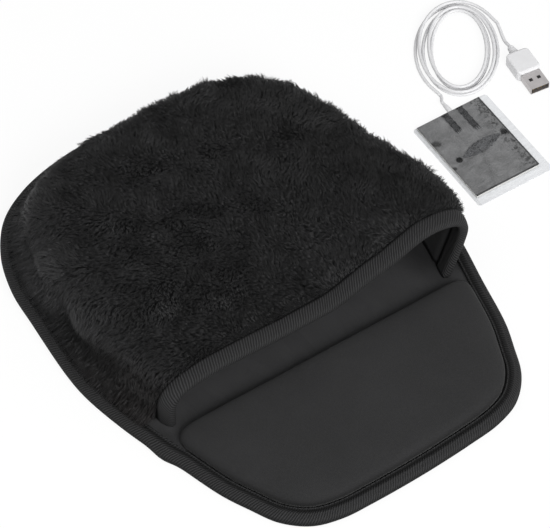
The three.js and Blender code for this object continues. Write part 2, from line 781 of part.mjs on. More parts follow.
function plugRelief() {
  const profile = [[0, 0], [reliefTip, 0]];
  for (let rib = 0; rib < reliefRibs; rib += 1) {
    const [start, end] = [rib / reliefRibs, (rib + reliefRibShare) / reliefRibs];
    for (const [share, raised] of [[start, 1], [end, 1], [end, 0], [(rib + 1) / reliefRibs, 0]]) {
      const radius = THREE.MathUtils.lerp(reliefTip, reliefRadius, share);
      profile.push([radius + raised * reliefRib, share * reliefLength]);
    }
  }
  profile.push([0, reliefLength]);
  const points = profile.map(([radius, level]) => new THREE.Vector2(radius, level));
  return new THREE.LatheGeometry(points, roundSteps).rotateZ(-quarterTurn)
    .translate(-reliefLength - clearance, 0, 0);
}

const shellStart = gripLength + clearance;

function plugShell() {
  const middle = shellStart + shellLength / 2;
  const shell = box(shellLength, shellWidth, shellDepth, middle, 0, 0);
  const bore = box(
    shellLength + 2 * overrun, shellWidth - 2 * shellWall, shellDepth - 2 * shellWall, middle, 0, 0);
  const windows = [-windowSpread, windowSpread].map((side) => (
    box(windowSize, windowSize, shellDepth + 2 * overrun, shellStart + windowPlace, side, 0)));
  return cut(shell, bore, ...windows);
}

const tongueLevel = shellDepth / 2 - shellWall - clearance - tongueDepth / 2;

function plugTongue() {
  const length = shellLength - tongueSetback;
  return box(length, tongueWidth, tongueDepth, shellStart + length / 2, 0, tongueLevel);
}

function plugContact(which) {
  const side = (which - (contactCount - 1) / 2) * contactPitch;
  const level = tongueLevel - tongueDepth / 2 - clearance - contactDepth / 2;
  const start = shellStart + shellLength - tongueSetback - contactLength;
  return box(contactLength, contactWidth, contactDepth, start + contactLength / 2, side, level);
}

// Colours and finishes
const plush = { color: 0x1e1e20, roughness: 1, metalness: 0 };
const jersey = { color: 0x333335, roughness: 0.9, metalness: 0 };
const fleece = { color: 0x2c2c2e, roughness: 0.95, metalness: 0 };
const tape = { color: 0x303032, roughness: 0.85, metalness: 0 };
const foam = { color: 0x3a3a3c, roughness: 0.95, metalness: 0 };
const wadding = { color: 0xd8d8d4, roughness: 1, metalness: 0 };
const rubber = { color: 0x1c1c1c, roughness: 0.8, metalness: 0 };
const felt = { color: 0xe8e8e8, roughness: 1, metalness: 0 };
const carbon = { color: 0x707274, roughness: 0.5, metalness: 0.2 };
const foil = { color: 0x505254, roughness: 0.4, metalness: 0.5 };
const dark = { color: 0x303234, roughness: 0.5, metalness: 0.5 };
const clear = { color: 0xf2f4f8, roughness: 0.2, metalness: 0 };
const white = { color: 0xf0f0f0, roughness: 0.4, metalness: 0 };
const steel = { color: 0xa8a4a4, roughness: 0.3, metalness: 1 };
const gold = { color: 0xd8b060, roughness: 0.3, metalness: 1 };

function piece(name, geometry, finish) {
  const mesh = new THREE.Mesh(welded(geometry), new THREE.MeshStandardMaterial(finish));
  mesh.name = name;
  return mesh;
}

function pouch() {
  const inner = insetOutline(bindingThickness + clearance);
  const underside = insetOutline(bindingWidth + clearance);
  const shellInset = cushionFabric + clearance;
  return [
    piece('antislip_sheet', plate(underside, 0, antislipThickness), rubber),
    piece('base_foam', plate(inner, baseFoamLevel, baseFoamThickness), foam),
    piece('floor_lining', plate(inner, floorLiningLevel, floorLiningThickness), fleece),
    piece('base_binding', baseBinding(), tape),
    piece('wrist_cushion_foam', crowned(cushionRings(shellInset)), foam),
    piece('wrist_cushion_cover', crowned(cushionRings(0), cushionRings(cushionFabric)), jersey),
    piece('plush_top_panel', plushTopPanel(), plush),
    piece('plush_side_band', plushSideBand(), plush),
    piece('cover_wadding', coverWadding(), wadding),
    piece('cover_lining', coverLining(), fleece),
    piece('mouth_binding', mouthBinding(), tape),
    piece('heater_pocket', heaterPocket(), fleece),
  ];
}

function heatingPad() {
  const pad = new THREE.Group();
  const [width, length] = [sleeveWidth, sleeveLength];
  pad.position.set(...padPlace, 0);
  pad.rotation.z = padTurn;
  pad.add(
    piece('sleeve_back', roundedPlate(width, length, sleeveSheet, sleeveCorner, 0), white),
    piece('sleeve_front', sleeveFront(), clear),
    piece('felt_backing', feltBacking(), felt),
    piece('heating_film', heatingFilm(), carbon),
    piece('bonding_patch', bondingPatch(), foil),
    piece('cord_gland', cordGland(), white),
    ...rivetPlaces.map((place, which) => piece(`terminal_rivet_${which + 1}`, rivet(place), dark)),
    ...foilLengths.map((_, which) => piece(`lead_foil_${which + 1}`, leadFoil(which), foil)),
    ...foilLengths.map((_, which) => piece(`lead_wire_${which + 1}`, leadWire(which), white)),
  );
  return pad;
}

function plug() {
  const group = new THREE.Group();
  group.position.set(...plugPlace, plugHeight);
  group.rotation.z = plugTurn;
  group.add(
    piece('plug_grip', plugGrip(), white),
    piece('plug_strain_relief', plugRelief(), white),
    piece('plug_shell', plugShell(), steel),
    piece('plug_tongue', plugTongue(), white),
  );
  for (let which = 0; which < contactCount; which += 1) {
    group.add(piece(`plug_contact_${which + 1}`, plugContact(which), gold));
  }
  return group;
}

const group = new THREE.Group();
group.add(
  ...pouch(),
  heatingPad(),
  piece('cord_at_pad', cordAtPad(), white),
  piece('cord_coil', tube(coilRoute, cordDiameter / 2, coilSides), white),
  piece('cord_at_plug', cordAtPlug(), white),
  plug(),
);

export default group;
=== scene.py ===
"""Looks for a heated hand pouch: plush cover, tapes, wrist cushion, heating pad and coiled lead."""

import math

import bmesh
import bpy
import numpy as np
from bpy.props import FloatProperty, FloatVectorProperty, IntProperty, PointerProperty
from mathutils import Matrix, Vector
from mathutils.kdtree import KDTree


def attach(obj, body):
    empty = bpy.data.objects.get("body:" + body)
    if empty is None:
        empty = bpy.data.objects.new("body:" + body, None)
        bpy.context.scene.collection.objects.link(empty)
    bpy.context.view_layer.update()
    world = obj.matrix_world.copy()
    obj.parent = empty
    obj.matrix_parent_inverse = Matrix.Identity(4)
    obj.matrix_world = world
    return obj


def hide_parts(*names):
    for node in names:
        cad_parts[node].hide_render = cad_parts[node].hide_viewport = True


bl_info = {
    "name": "Heated Hand Pouch",
    "version": (1, 0, 0),
    "blender": (4, 5, 0),
    "location": "3D View > Sidebar > Pouch",
    "description": "Dresses the packed model of a heated pouch for a hand and a computer mouse",
    "category": "Object",
}

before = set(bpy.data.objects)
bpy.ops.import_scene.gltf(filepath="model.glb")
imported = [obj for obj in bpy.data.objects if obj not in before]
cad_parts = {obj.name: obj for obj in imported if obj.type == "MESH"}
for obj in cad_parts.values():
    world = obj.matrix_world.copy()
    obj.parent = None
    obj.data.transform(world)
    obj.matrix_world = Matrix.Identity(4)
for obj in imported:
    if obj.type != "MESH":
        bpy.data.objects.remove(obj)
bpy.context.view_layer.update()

# The drawing is worked out in millimetres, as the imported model's source is
MM = 0.001
QUARTER = math.pi / 2
CLEARANCE = 0.3
MERGE_GAP = 0.004 * MM

# Pouch base
BASE_LENGTH = 296.0
BASE_WIDTH = 237.0
BINDING_WIDTH = 8.5
BINDING_THICKNESS = 0.8
BINDING_LIFT = 0.2
BINDING_TOP = 7.5
TAPE_PLUMP = 1.0
FLOOR_LEVEL = 5.6
FLOOR_THICKNESS = 0.8
FLOOR_WAVES = 0.12
SEAT_LEVEL = 6.7
MOUTH_SKEW = 3.2
OUTLINE_STEPS = 360
OUTLINE_SHARES = np.array([
    (0, -1), (0.28, -0.994), (0.44, -0.983), (0.58, -0.945), (0.69, -0.862), (0.757, -0.752),
    (0.813, -0.643), (0.882, -0.432), (0.949, -0.23), (0.994, -0.007), (0.995, 0.12), (0.957, 0.4),
    (0.928, 0.57), (0.851, 0.735), (0.713, 0.872), (0.46, 0.966), (0, 1),
])

# Painted shade on the fleece in the dark corners inside the mouth: x, y, how far it reaches and how dark
# it is
FLOOR_SHADOWS = ((99.0, -27.0, 29.0, 0.66), (-104.0, -50.0, 15.0, 0.5))
LINING_SHADOWS = ((106.0, -30.0, 46.0, 0.15),)

# Lifts of the tapes from their inner edge to their nose: the base's tape has a stitched groove
EDGE_SWELL = np.array((0.05, 0.42, 0.5, 0.2, -0.02, 0.15, 0.42, 0.68, 0.88, 0.9))
EDGE_NOSE = 3.4
EDGE_COLUMNS = 720
MOUTH_SWELL = np.array((0.0, 0.29, 0.5, 0.55, 0.42))
MOUTH_NOSE = 2.6
MOUTH_COLUMNS = 420
MOUTH_OVERHANG = 1.1
# How deep the tape's upper face goes, and how high its waves are
TAPE_FACE = 1.2
TAPE_WAVES = 0.14
GROOVE_PLACE = 2.2
STITCH_INSET = 0.85
STITCH_LIFT = 0.52
STITCH_LENGTH_SHARE = 0.4
STITCH_THICKNESS = (0.26, 0.2)

# The small bulge of the base's tape below the mouth's left foot
FOLD_PLACE = (-106.5, -56.0)
FOLD_REACH = 8.0
FOLD_WAY = np.array((-1.6, -1.0))
FOLD_LIFT = 0.5

# Wrist cushion
CUSHION_BACK = -55.0
CUSHION_GROOVE = 0.6
CUSHION_HEIGHT = 8.5
CUSHION_CORNER = 8.0
CUSHION_POWER = 5.0
CUSHION_STEPS = 260
CUSHION_ROWS = 40
CUSHION_UNDER = 0.1

# Plush cover
MOUTH_PLACE = -47.7
MOUTH_HEIGHT = 27.0
MOUTH_LIFT = 23.0
MOUTH_FLARE = 20.0
COVER_LEAN = 8.0
COVER_HEIGHT = 31.5
COVER_CORNER = 104.0
COVER_INSET = 17.5
COVER_LENGTH = COVER_CORNER - MOUTH_PLACE
ARCH_POWER = 5.0
BACK_POWER = 5.0
BOW_POWER = 3.0
MOUTH_LIFT_SHARES = np.array([
    (-1, 0.1), (-0.7, 0.1), (-0.2, 0), (0.144, 0), (0.254, 0.22), (0.364, 0.39), (0.486, 0.54),
    (0.6, 0.83), (0.71, 0.98), (1, 1),
])
LIFT_BLUR = 0.05
MOUTH_FADE_SHARE = 0.6
FLARE_FADE_SHARE = 0.7
RIDGE_ACROSS = 0.935
RIDGE_ALONG = 0.905
SIDE_LEG = 0.33
ARCH_LEG = 0.16
BACKING = 0.8
WADDING_PRESSED = 1.2
WADDING = 2.5
WADDING_START = 0.03
LINING = 0.8
POCKET_ACROSS = 0.4
POCKET_ALONG = (0.16, 0.74)
POCKET_DROP = 0.5

# Pile
PILE_START = 10.5
PILE_MARGIN = 1.5
GROUND_LIFT = 2.0
TUFT_STRANDS = 6
TAPE_TOP = BINDING_TOP + TAPE_PLUMP
LOW_PILE = 17.0
BARE_EDGE = 1.4
# How far inside the base's outline the left side's fallen strands end
FALL_DEPTHS = (0.8, 8.5)
# Height of the pale fringe's lower edge on the left side, at places along the part
FRINGE = ((8, 24, 49, 72), (25.0, 20.0, 13.0, 7.0))
# How the pile is combed: places on the cover seen from above, the way it lies there, and how flat
COMB = np.array([
    (-98, -28, -0.9, -0.6, 0.85), (-104, 10, -1.0, -0.25, 0.9), (-104, 50, -1.0, 0.0, 0.9),
    (-96, 92, -0.9, 0.5, 0.8), (-60, 120, -0.4, 0.9, 0.5), (0, 128, 0.1, 0.9, 0.4),
    (60, 122, 0.3, 0.9, 0.4), (100, 96, 0.6, 0.7, 0.4), (112, 50, 0.7, 0.6, 0.4),
    (118, 0, 0.7, 0.5, 0.4), (122, -34, 0.5, 0.5, 0.5), (-80, 20, -1.0, -0.3, 0.7),
    (-78, 70, -0.9, 0.3, 0.7), (0, 60, -0.5, 0.3, 0.35), (-30, 10, -0.4, -0.2, 0.35),
    (40, 20, 0.0, 0.3, 0.4), (80, 40, 0.3, 0.8, 0.5), (0, -36, -0.3, 0.6, 0.7),
    (-60, -36, -0.7, 0.2, 0.7), (60, -36, 0.1, 0.8, 0.7),
])

# Heating pad
PAD_TURN = math.radians(-2.9)
FILM_WIDTH = 43.0
FILM_LENGTH = 60.0
FILM_EDGE = 0.9
FILM_SMUDGE = (-20.8, 11.8)
FILM_TAB = (-20.8, -7.0)
SLEEVE_MARGINS = (1.9, 6.1, 5.4, 1.6)
SLEEVE_SHEET = 0.4
SLEEVE_SEAM = 1.2
SLEEVE_FRONT = 0.2
# Where the front sheet starts to rise from its rim, and over what distance it does
SLEEVE_RISE = (0.9, 2.6)
FELT_EDGE = 0.25
WELD_INSETS = (0.7, 1.5)
FRONT_LEVEL = 4.0
FOIL_LEVEL = 3.3
FOIL_SKINS = (0.22, 0.07)
FOIL_WIDTH = 4.0
FOIL_LENGTH_SHARES = (0.25, 0.3)
FOIL_PLACE_SHARES = (-0.065, 0.17)
RIVET_PLACE_SHARES = ((-0.349, -0.053), (0.428, 0.01))
RIVET_RADIUS = 1.9
PATCH_GAP = 0.9
PATCH_WIDTH = 7.5
PATCH_TIP = 0.12
SLEEVE_WIDTH = SLEEVE_MARGINS[0] + FILM_WIDTH + SLEEVE_MARGINS[1]
SLEEVE_LENGTH = SLEEVE_MARGINS[2] + FILM_LENGTH + SLEEVE_MARGINS[3]
PAD_PLACE = np.array((BASE_WIDTH / 2 + 21.5 + SLEEVE_WIDTH / 2, 14.0))
FILM_PLACE = np.array((
    (SLEEVE_MARGINS[0] - SLEEVE_MARGINS[1]) / 2, (SLEEVE_MARGINS[2] - SLEEVE_MARGINS[3]) / 2))
RIVET_PLACES = np.array(RIVET_PLACE_SHARES) * (FILM_WIDTH, FILM_LENGTH)

# Lead, coil and plug
CORD_DIAMETER = 2.0
GLAND_PLACE = 1.9
GLAND_LENGTH = 6.0
GLAND_HEIGHT = 2.2
GLAND_X = FILM_PLACE[0] + GLAND_PLACE
GLAND_END = SLEEVE_LENGTH / 2 - SLEEVE_SEAM + GLAND_LENGTH
COIL_PLACE = PAD_PLACE + (34.5, SLEEVE_LENGTH / 2 + 33.5)
COIL_TURN = math.radians(-36.1)
COIL_OUTER = np.array((26.0, 37.0))
COIL_INNER = np.array((15.0, 29.0))
COIL_START = math.radians(235)
COIL_WIND = math.radians(1637)
COIL_LAYER_GAP = 0.5
COIL_STEPS = 196
COIL_ASIDE = 0.13
COIL_WANDER = 0.05
PLUG_PLACE = COIL_PLACE + (23.0, -24.0)
PLUG_TURN = math.radians(-99)
PLUG_HEIGHT = 4.0
RELIEF_LENGTH = 6.0
PLUG_BACK = -RELIEF_LENGTH - 2 * CLEARANCE
CONTACTS = [f"plug_contact_{number}" for number in range(1, 5)]

# Stage: place, size and power of each lamp
CAMERA_PLACE = Vector((-795.9, -1103.7, 1742.9)) * MM
CAMERA_AIM = Vector((20.9, 16.5, 0)) * MM
CAMERA_LENS = 261.8
LAMPS = {
    "key": ((-0.9, 0.5, 2.3), 2.2, 15),
    "fill": ((1.5, -1.2, 1.7), 1.8, 9),
    "front": ((-0.25, -1.95, 1.45), 1.4, 58),
}
FLOOR_SIZE = 6
FLOOR_WHITE = 0.9
WORLD_LIGHT = 0.45


def color_setting(name, description, color):
    return FloatVectorProperty(
        name=name, description=description, default=color, subtype="COLOR", size=3)


def size_setting(name, description, size, least):
    return FloatProperty(
        name=name, description=description, default=size, min=least, unit="LENGTH")


def count_setting(name, description, count):
    return IntProperty(name=name, description=description, default=count, min=1000)


class PouchSettings(bpy.types.PropertyGroup):
    """Sizes and colours of the pouch that a user would change."""

    pile_length: size_setting("Pile Length", "Length of one strand of the plush pile", 0.0048, 0.001)
    pile_width: size_setting(
        "Pile Width", "Width of one strand of the pile at its root", 0.00036, 0.0001)
    pile_strands: count_setting("Pile Strands", "Number of long strands on the whole cover", 96000)
    down_strands: count_setting(
        "Down Strands", "Number of short straight strands between the long ones", 90000)
    pile_seed: IntProperty(
        name="Pile Seed", description="Start of the pile's random draws", default=7)
    pile_color: color_setting("Pile Color", "Colour of the plush pile", (0.0095, 0.0095, 0.0098))
    jersey_color: color_setting(
        "Jersey Color", "Colour of the wrist cushion's jersey", (0.0225, 0.0225, 0.0231))
    fleece_color: color_setting(
        "Fleece Color", "Colour of the floor and the lining", (0.039, 0.039, 0.04))
    tape_color: color_setting(
        "Tape Color", "Colour of the ribbed binding tape", (0.0145, 0.0145, 0.0149))
    rib_pitch: size_setting(
        "Rib Pitch", "Distance from rib to rib of the binding tape", 0.0016, 0.0003)
    stitch_pitch: size_setting(
        "Stitch Pitch", "Distance from stitch to stitch along the tape", 0.0034, 0.001)


class PadSettings(bpy.types.PropertyGroup):
    """Colours of the heating pad and its lead that a user would change."""

    film_color: color_setting("Film Color", "Colour of the carbon heating film", (0.126, 0.1265, 0.128))
    patch_color: color_setting(
        "Patch Color", "Colour of the darker foils on the film", (0.035, 0.0355, 0.037))
    vinyl_color: color_setting(
        "Vinyl Color", "Colour of the cord and of the plug's grip", (0.69, 0.69, 0.7))
    sleeve_color: color_setting(
        "Sleeve Color", "Colour of the sleeve's back sheet", (0.69, 0.7, 0.715))
    steel_color: color_setting("Steel Color", "Colour of the plug's shell", (0.5, 0.48, 0.48))


def settings():
    return bpy.context.scene.hand_pouch


def pad_settings():
    return bpy.context.scene.hand_pouch_pad


def math_operator(operation, reflected=False):
    def apply(self, other):
        first, second = (other, self) if reflected else (self, other)
        return self.paint.sum(operation, first, second)
    return apply


class Socket:
    """One output of a node, which adds, multiplies and compares as a number does."""

    def __init__(self, paint, output):
        self.paint = paint
        self.output = output

    __add__ = math_operator("ADD")
    __radd__ = math_operator("ADD", True)
    __sub__ = math_operator("SUBTRACT")
    __rsub__ = math_operator("SUBTRACT", True)
    __mul__ = math_operator("MULTIPLY")
    __rmul__ = math_operator("MULTIPLY", True)
    __truediv__ = math_operator("DIVIDE")
    __gt__ = math_operator("GREATER_THAN")
    __pow__ = math_operator("POWER")


class Paint:
    """The node tree of one finish, or of the world."""

    def __init__(self, name, kinds=None):
        self.data = (bpy.data.materials if kinds is None else kinds).new(name)
        self.data.use_nodes = True
        self.tree = self.data.node_tree
        self.tree.nodes.clear()

    def node(self, kind, output=0, choices=None, **inputs):
        """Adds any node. Inputs are given by name, with _ for a space, or by number as input_0."""
        node = self.tree.nodes.new(kind)
        for name, value in (choices or {}).items():
            setattr(node, name, value)
        for name, value in inputs.items():
            key = int(name[6:]) if name.startswith("input_") else name.replace("_", " ")
            if isinstance(value, Socket):
                self.tree.links.new(value.output, node.inputs[key])
            else:
                node.inputs[key].default_value = value
        return Socket(self, node.outputs[output]) if node.outputs else None

    def sum(self, operation, first, second=0.0):
        return self.node(
            "ShaderNodeMath", choices={"operation": operation}, input_0=first, input_1=second)

    def most(self, first, *others):
        """The greatest of some values."""
        for other in others:
            first = self.sum("MAXIMUM", first, other)
        return first

    def wave(self, value):
        """A smooth wave between 0 and 1, once for each whole step of the value."""
        return self.sum("SINE", value * (2 * math.pi)) * 0.5 + 0.5

    def blend(self, share, first, second):
        """A colour between two colours."""
        return self.node(
            "ShaderNodeMix", output=2, choices={"data_type": "RGBA"},
            input_0=share, input_6=opaque(first), input_7=opaque(second))

    def shades(self, share, color, dark, pale):
        """A colour between two shades of one colour."""
        return self.blend(share, shade(color, dark), shade(color, pale))

    def ramp(self, value, low, high, start=0.0, end=1.0):
        return self.node(
            "ShaderNodeMapRange", Value=value, From_Min=low, From_Max=high, To_Min=start, To_Max=end)

    def place(self, move=(0, 0), turn=0.0, scale=(1, 1, 1)):
        """Object coordinates in millimetres, moved and turned to a piece's own frame."""
        moved = self.node(
            "ShaderNodeMapping", choices={"vector_type": "TEXTURE"},
            Vector=self.node("ShaderNodeTexCoord", output="Object"),
            Location=(move[0] * MM, move[1] * MM, 0), Rotation=(0, 0, turn))
        return self.node(
            "ShaderNodeMapping", Vector=moved, Scale=[value / MM for value in scale])

    def parts(self, vector):
        node = self.node("ShaderNodeSeparateXYZ", Vector=vector).output.node
        return [Socket(self, output) for output in node.outputs]

    def noise(self, vector, size, detail=3.0, roughness=0.5, distortion=0.0):
        """Soft noise whose blots are about a size across, in millimetres."""
        return self.node(
            "ShaderNodeTexNoise", Vector=vector, Scale=1 / size, Detail=detail,
            Roughness=roughness, Distortion=distortion)

    def cells(self, vector, size, feature="F1"):
        return self.node(
            "ShaderNodeTexVoronoi", choices={"feature": feature}, Vector=vector, Scale=1 / size)

    def gap(self, x, y, middle, stretch=1.0):
        """The distance from a middle, where a step across counts less by the stretch."""
        across, up = (x - middle[0]) / stretch, y - middle[1]
        return (across * across + up * up) ** 0.5

    def spot(self, x, y, middle, radius, wobble, stretch=1.0):
        """1 inside a spot with an uneven edge, and 0 outside it."""
        gap = self.gap(x, y, middle, stretch) + wobble * radius
        return self.ramp(gap, radius, radius * 1.25, 1.0, 0.0)

    def done(self, color, rough, specular=0.5, relief=None, **inputs):
        """Ends the finish in one Principled shader, with its relief as a height in millimetres."""
        if relief is not None:
            inputs["Normal"] = self.node("ShaderNodeBump", Height=relief, Distance=MM)
        shader = self.node(
            "ShaderNodeBsdfPrincipled", Base_Color=color, Roughness=rough,
            Specular_IOR_Level=specular, **inputs)
        self.node("ShaderNodeOutputMaterial", Surface=shader)
        return self.data


def opaque(color):
    return color if isinstance(color, Socket) else (*color[:3], 1.0)


def shade(color, factor):
    return (*[min(1.0, part * factor) for part in color[:3]], 1.0)


def pile_finish():
    """Black plush fibres, darker at the root, with painted light: paler strands and a painted highlight
    on the tips where the strand's painted light share is high, painted shade where it is low; browner
    tips towards the front left.
    """
    paint = Paint("plush_pile")
    color = settings().pile_color
    tip, fibre, lay_and_painted_light = [
        paint.node("ShaderNodeAttribute", output="Fac", choices={"attribute_name": name})
        for name in ("tip", "fibre", "lay_and_painted_light")]
    spot = paint.place()
    x, y, _ = paint.parts(spot)
    # Painted light: the strand's share makes it paler as a painted highlight, darker as painted shade,
    # and lights its tip
    deep, fair = paint.shades(lay_and_painted_light, color, 0.3, 1.5), paint.shades(lay_and_painted_light, color, 0.75, 2.8)
    lit = paint.blend(tip * lay_and_painted_light, paint.blend(fibre, deep, fair), shade(color, 6.4))
    brown_tips = paint.ramp(x * -1 - y * 0.35, 96, 122) * paint.noise(spot, 9, 1.0)
    brown = (color[0] * 3.4, color[1] * 2.6, color[2] * 2.4)
    return paint.done(paint.blend(brown_tips * tip, lit, brown), 0.5, 0.36)


def backing_finish():
    """The knitted ground that the pile grows from, seen only between strands."""
    paint = Paint("plush_ground")
    grain = paint.noise(paint.place(), 1.6, 4.0, 0.7)
    return paint.done(paint.shades(grain, settings().pile_color, 0.5, 1.1), 0.95, 0.08, grain * 0.8)


def jersey_finish():
    """A tight fine-gauge knit with a faint heather, and painted shade on its lower flanks, which are
    darker than the crown.
    """
    paint = Paint("cushion_jersey")
    color = settings().jersey_color
    spot = paint.place()
    x, y, z = paint.parts(spot)
    courses = paint.wave(x / 0.55) * paint.wave(y / 0.7 + paint.wave(x / 0.55) * 0.3)
    heather = paint.noise(spot, 1.1, 4.0, 0.75)
    cloud = paint.noise(spot, 30, 2.0)
    tone = paint.shades(paint.ramp(heather * 0.65 + cloud * 0.35, 0.3, 0.7), color, 0.72, 1.12)
    # Painted shade: the flanks darken towards the seat, the crown keeps the full tone
    crown = paint.ramp(z, SEAT_LEVEL + 1.6, SEAT_LEVEL + CUSHION_HEIGHT - 2.2)
    return paint.done(
        paint.blend(crown, shade(color, 0.38), tone), 0.85, 0.12, courses * 0.10 + heather * 0.12,
        Sheen_Weight=0.06, Sheen_Roughness=0.5)


def fleece_finish(name, factor, painted_shadows=()):
    """Brushed short-napped fleece with lint and faint marks of the nap's lie, with painted shade
    darkening it round given places.
    """
    paint = Paint(name)
    color = shade(settings().fleece_color, factor)
    spot = paint.place()
    nap = paint.noise(spot, 0.9, 5.0, 0.8)
    lay_and_painted_light = paint.noise(paint.place(scale=(1, 0.35, 1)), 7, 3.0, distortion=1.2)
    tone = paint.shades(nap * 0.65 + lay_and_painted_light * 0.35, color, 0.62, 1.45)
    x, y, _ = paint.parts(spot)
    # Painted shade, darkest near each place and fading out to its reach
    for place_x, place_y, reach, dark in painted_shadows:
        shadow_share = paint.ramp(paint.gap(x, y, (place_x, place_y)), reach * 0.45, reach, dark, 0.0)
        tone = paint.blend(shadow_share, tone, shade(color, 0.22))
    return paint.done(tone, 0.95, 0.08, nap * 0.35 + lay_and_painted_light * 0.5)


def tape_finish(name, groove_shade, underside_shade):
    """Woven tape: slanting ribs of twill with a fine cross thread, their crowns painted paler and their
    valleys darker as painted light and shade. It has a line of painted shade along its inner edge; the
    first number says how dark the painted shade is at the stitches beside that edge, and the second how
    dark the painted shade on its folded underside is."""
    paint = Paint(name)
    color = settings().tape_color
    along, around, _ = paint.parts(paint.node("ShaderNodeTexCoord", output="UV"))
    wobble = paint.noise(paint.place(), 5, 2.0)
    ribs = paint.wave((along + around * 0.55 + wobble * 0.9) / (settings().rib_pitch / MM))
    threads = paint.wave(around / 0.45 + along * 0.25)
    grain = paint.noise(paint.place(), 0.8, 3.0, 0.7)
    dust = paint.noise(paint.place(), 22, 2.0)
    height = ribs * 0.75 + ribs * threads * 0.25
    # Painted light and shade: the rib crowns paler, the valleys darker
    tone = paint.shades(height * 0.8 + grain * 0.2, color, 0.14, 2.9)
    mixed = paint.blend(0.2, tone, paint.blend(dust, tone, shade(color, 1.35)))
    past = around - GROOVE_PLACE
    # Painted shade: in the stitched groove, along the inner edge where the tape meets the next part, and
    # on the folded underside
    dark = paint.most(
        paint.ramp(past * past, 0.2, 1.0, groove_shade, 0.0),
        paint.ramp(around, GROOVE_PLACE, 5.4, groove_shade * 0.6, 0.0) * (around > GROOVE_PLACE),
        paint.ramp(around, 0.2, 1.0, 0.6, 0.0), paint.ramp(around, 9.2, 11.5, 0.0, underside_shade))
    return paint.done(paint.blend(dark, mixed, shade(color, 0.12)), 0.75, 0.16, height * 0.45)


def thread_finish():
    """Twisted sewing thread, a shade paler than the tape."""
    paint = Paint("sewing_thread")
    x, y, z = paint.parts(paint.place())
    twist = paint.wave((x + y * 0.8 + z) / 0.4)
    return paint.done(paint.shades(twist, settings().tape_color, 0.9, 2.2), 0.6, 0.25, twist * 0.08)


def rubber_finish():
    """Anti-slip rubber with rows of small raised dots."""
    paint = Paint("antislip_rubber")
    spot = paint.place(turn=math.radians(45))
    x, y, _ = paint.parts(spot)
    dots = paint.ramp(paint.wave(x / 3) * paint.wave(y / 3), 0.45, 0.7)
    tone = paint.blend(paint.noise(spot, 4, 4.0, 0.7), (0.009, 0.009, 0.009), (0.02, 0.02, 0.019))
    return paint.done(tone, paint.ramp(dots, 0, 1, 0.8, 0.55), 0.3, dots * 0.5)


def foam_finish():
    """Open-cell foam."""
    paint = Paint("cell_foam")
    pores = paint.cells(paint.place(), 0.9)
    tone = paint.blend(pores, (0.02, 0.02, 0.021), (0.055, 0.055, 0.057))
    return paint.done(tone, 0.95, 0.1, pores * 0.4)


def fluff_finish(name, size, distortion, relief, dark, pale):
    """Loose white fibres: wadding or needled felt."""
    paint = Paint(name)
    fibres = paint.noise(paint.place(), size, 6.0, 0.8, distortion)
    return paint.done(paint.blend(fibres, dark, pale), 1.0, 0.1, fibres * relief)


def film_frame(paint):
    """Millimetres on the film, from the film's own middle."""
    return paint.place(PAD_PLACE + turned(*FILM_PLACE, PAD_TURN), PAD_TURN)


def film_finish():
    """Printed carbon film: grey mottling, darker smudges, fine pits and a dark line along its right and
    lower edges.
    """
    paint = Paint("carbon_film")
    color = pad_settings().film_color
    spot = film_frame(paint)
    x, y, _ = paint.parts(spot)
    mottle = paint.noise(spot, 9, 5.0, 0.65, 0.6)
    grain = paint.noise(spot, 1.0, 3.0, 0.8)
    tone = paint.shades(paint.ramp(mottle * 0.6 + grain * 0.4, 0.36, 0.66), color, 0.62, 1.5)
    wobble = paint.noise(spot, 4, 2.0)
    smudges = paint.ramp(paint.noise(spot, 2.4, 4.0, 0.8), 0.5, 0.55)
    spots = paint.most(
        smudges * paint.ramp(x + wobble * 9, 15.5, 22),
        paint.spot(x, y + x * 0.12, FILM_SMUDGE, 3.4, wobble, 2.4),
        paint.spot(x, y, FILM_TAB, 2.2, wobble))
    edge = paint.most(x > FILM_WIDTH / 2 - FILM_EDGE, y * -1 > FILM_LENGTH / 2 - FILM_EDGE)
    marked = paint.blend(spots * 0.92, tone, shade(color, 0.2))
    return paint.done(
        paint.blend(edge * 0.85, marked, shade(color, 0.12)), paint.ramp(grain, 0, 1, 0.5, 0.7),
        0.2, mottle * 0.25 + grain * 0.05)


def foil_finish(name, factor):
    """Darker foil laid on the film, with a netted grain and torn pale flecks."""
    paint = Paint(name)
    color = shade(pad_settings().patch_color, factor)
    spot = film_frame(paint)
    net = paint.cells(spot, 1.9, "DISTANCE_TO_EDGE")
    lines = paint.ramp(net, 0.0, 0.22, 1.0, 0.0)
    blots = paint.noise(spot, 3.5, 4.0, 0.7)
    tone = paint.blend(lines * 0.7, paint.shades(blots, color, 0.55, 1.3), shade(color, 2.9))
    return paint.done(tone, 0.6, 0.15, net * 0.2 + blots * 0.3)


def rivet_finish():
    """Darkened terminal rivets with a turned, scratched face."""
    paint = Paint("dark_rivet")
    scratch = paint.noise(paint.place(scale=(1, 6, 1)), 0.8, 4.0, 0.7)
    blots = paint.noise(paint.place(), 1.3, 2.0)
    tone = paint.blend(blots * 0.5 + scratch * 0.5, (0.001, 0.001, 0.001), (0.006, 0.006, 0.006))
    return paint.done(tone, paint.ramp(scratch, 0, 1, 0.5, 0.7), 0.1, scratch * 0.06)


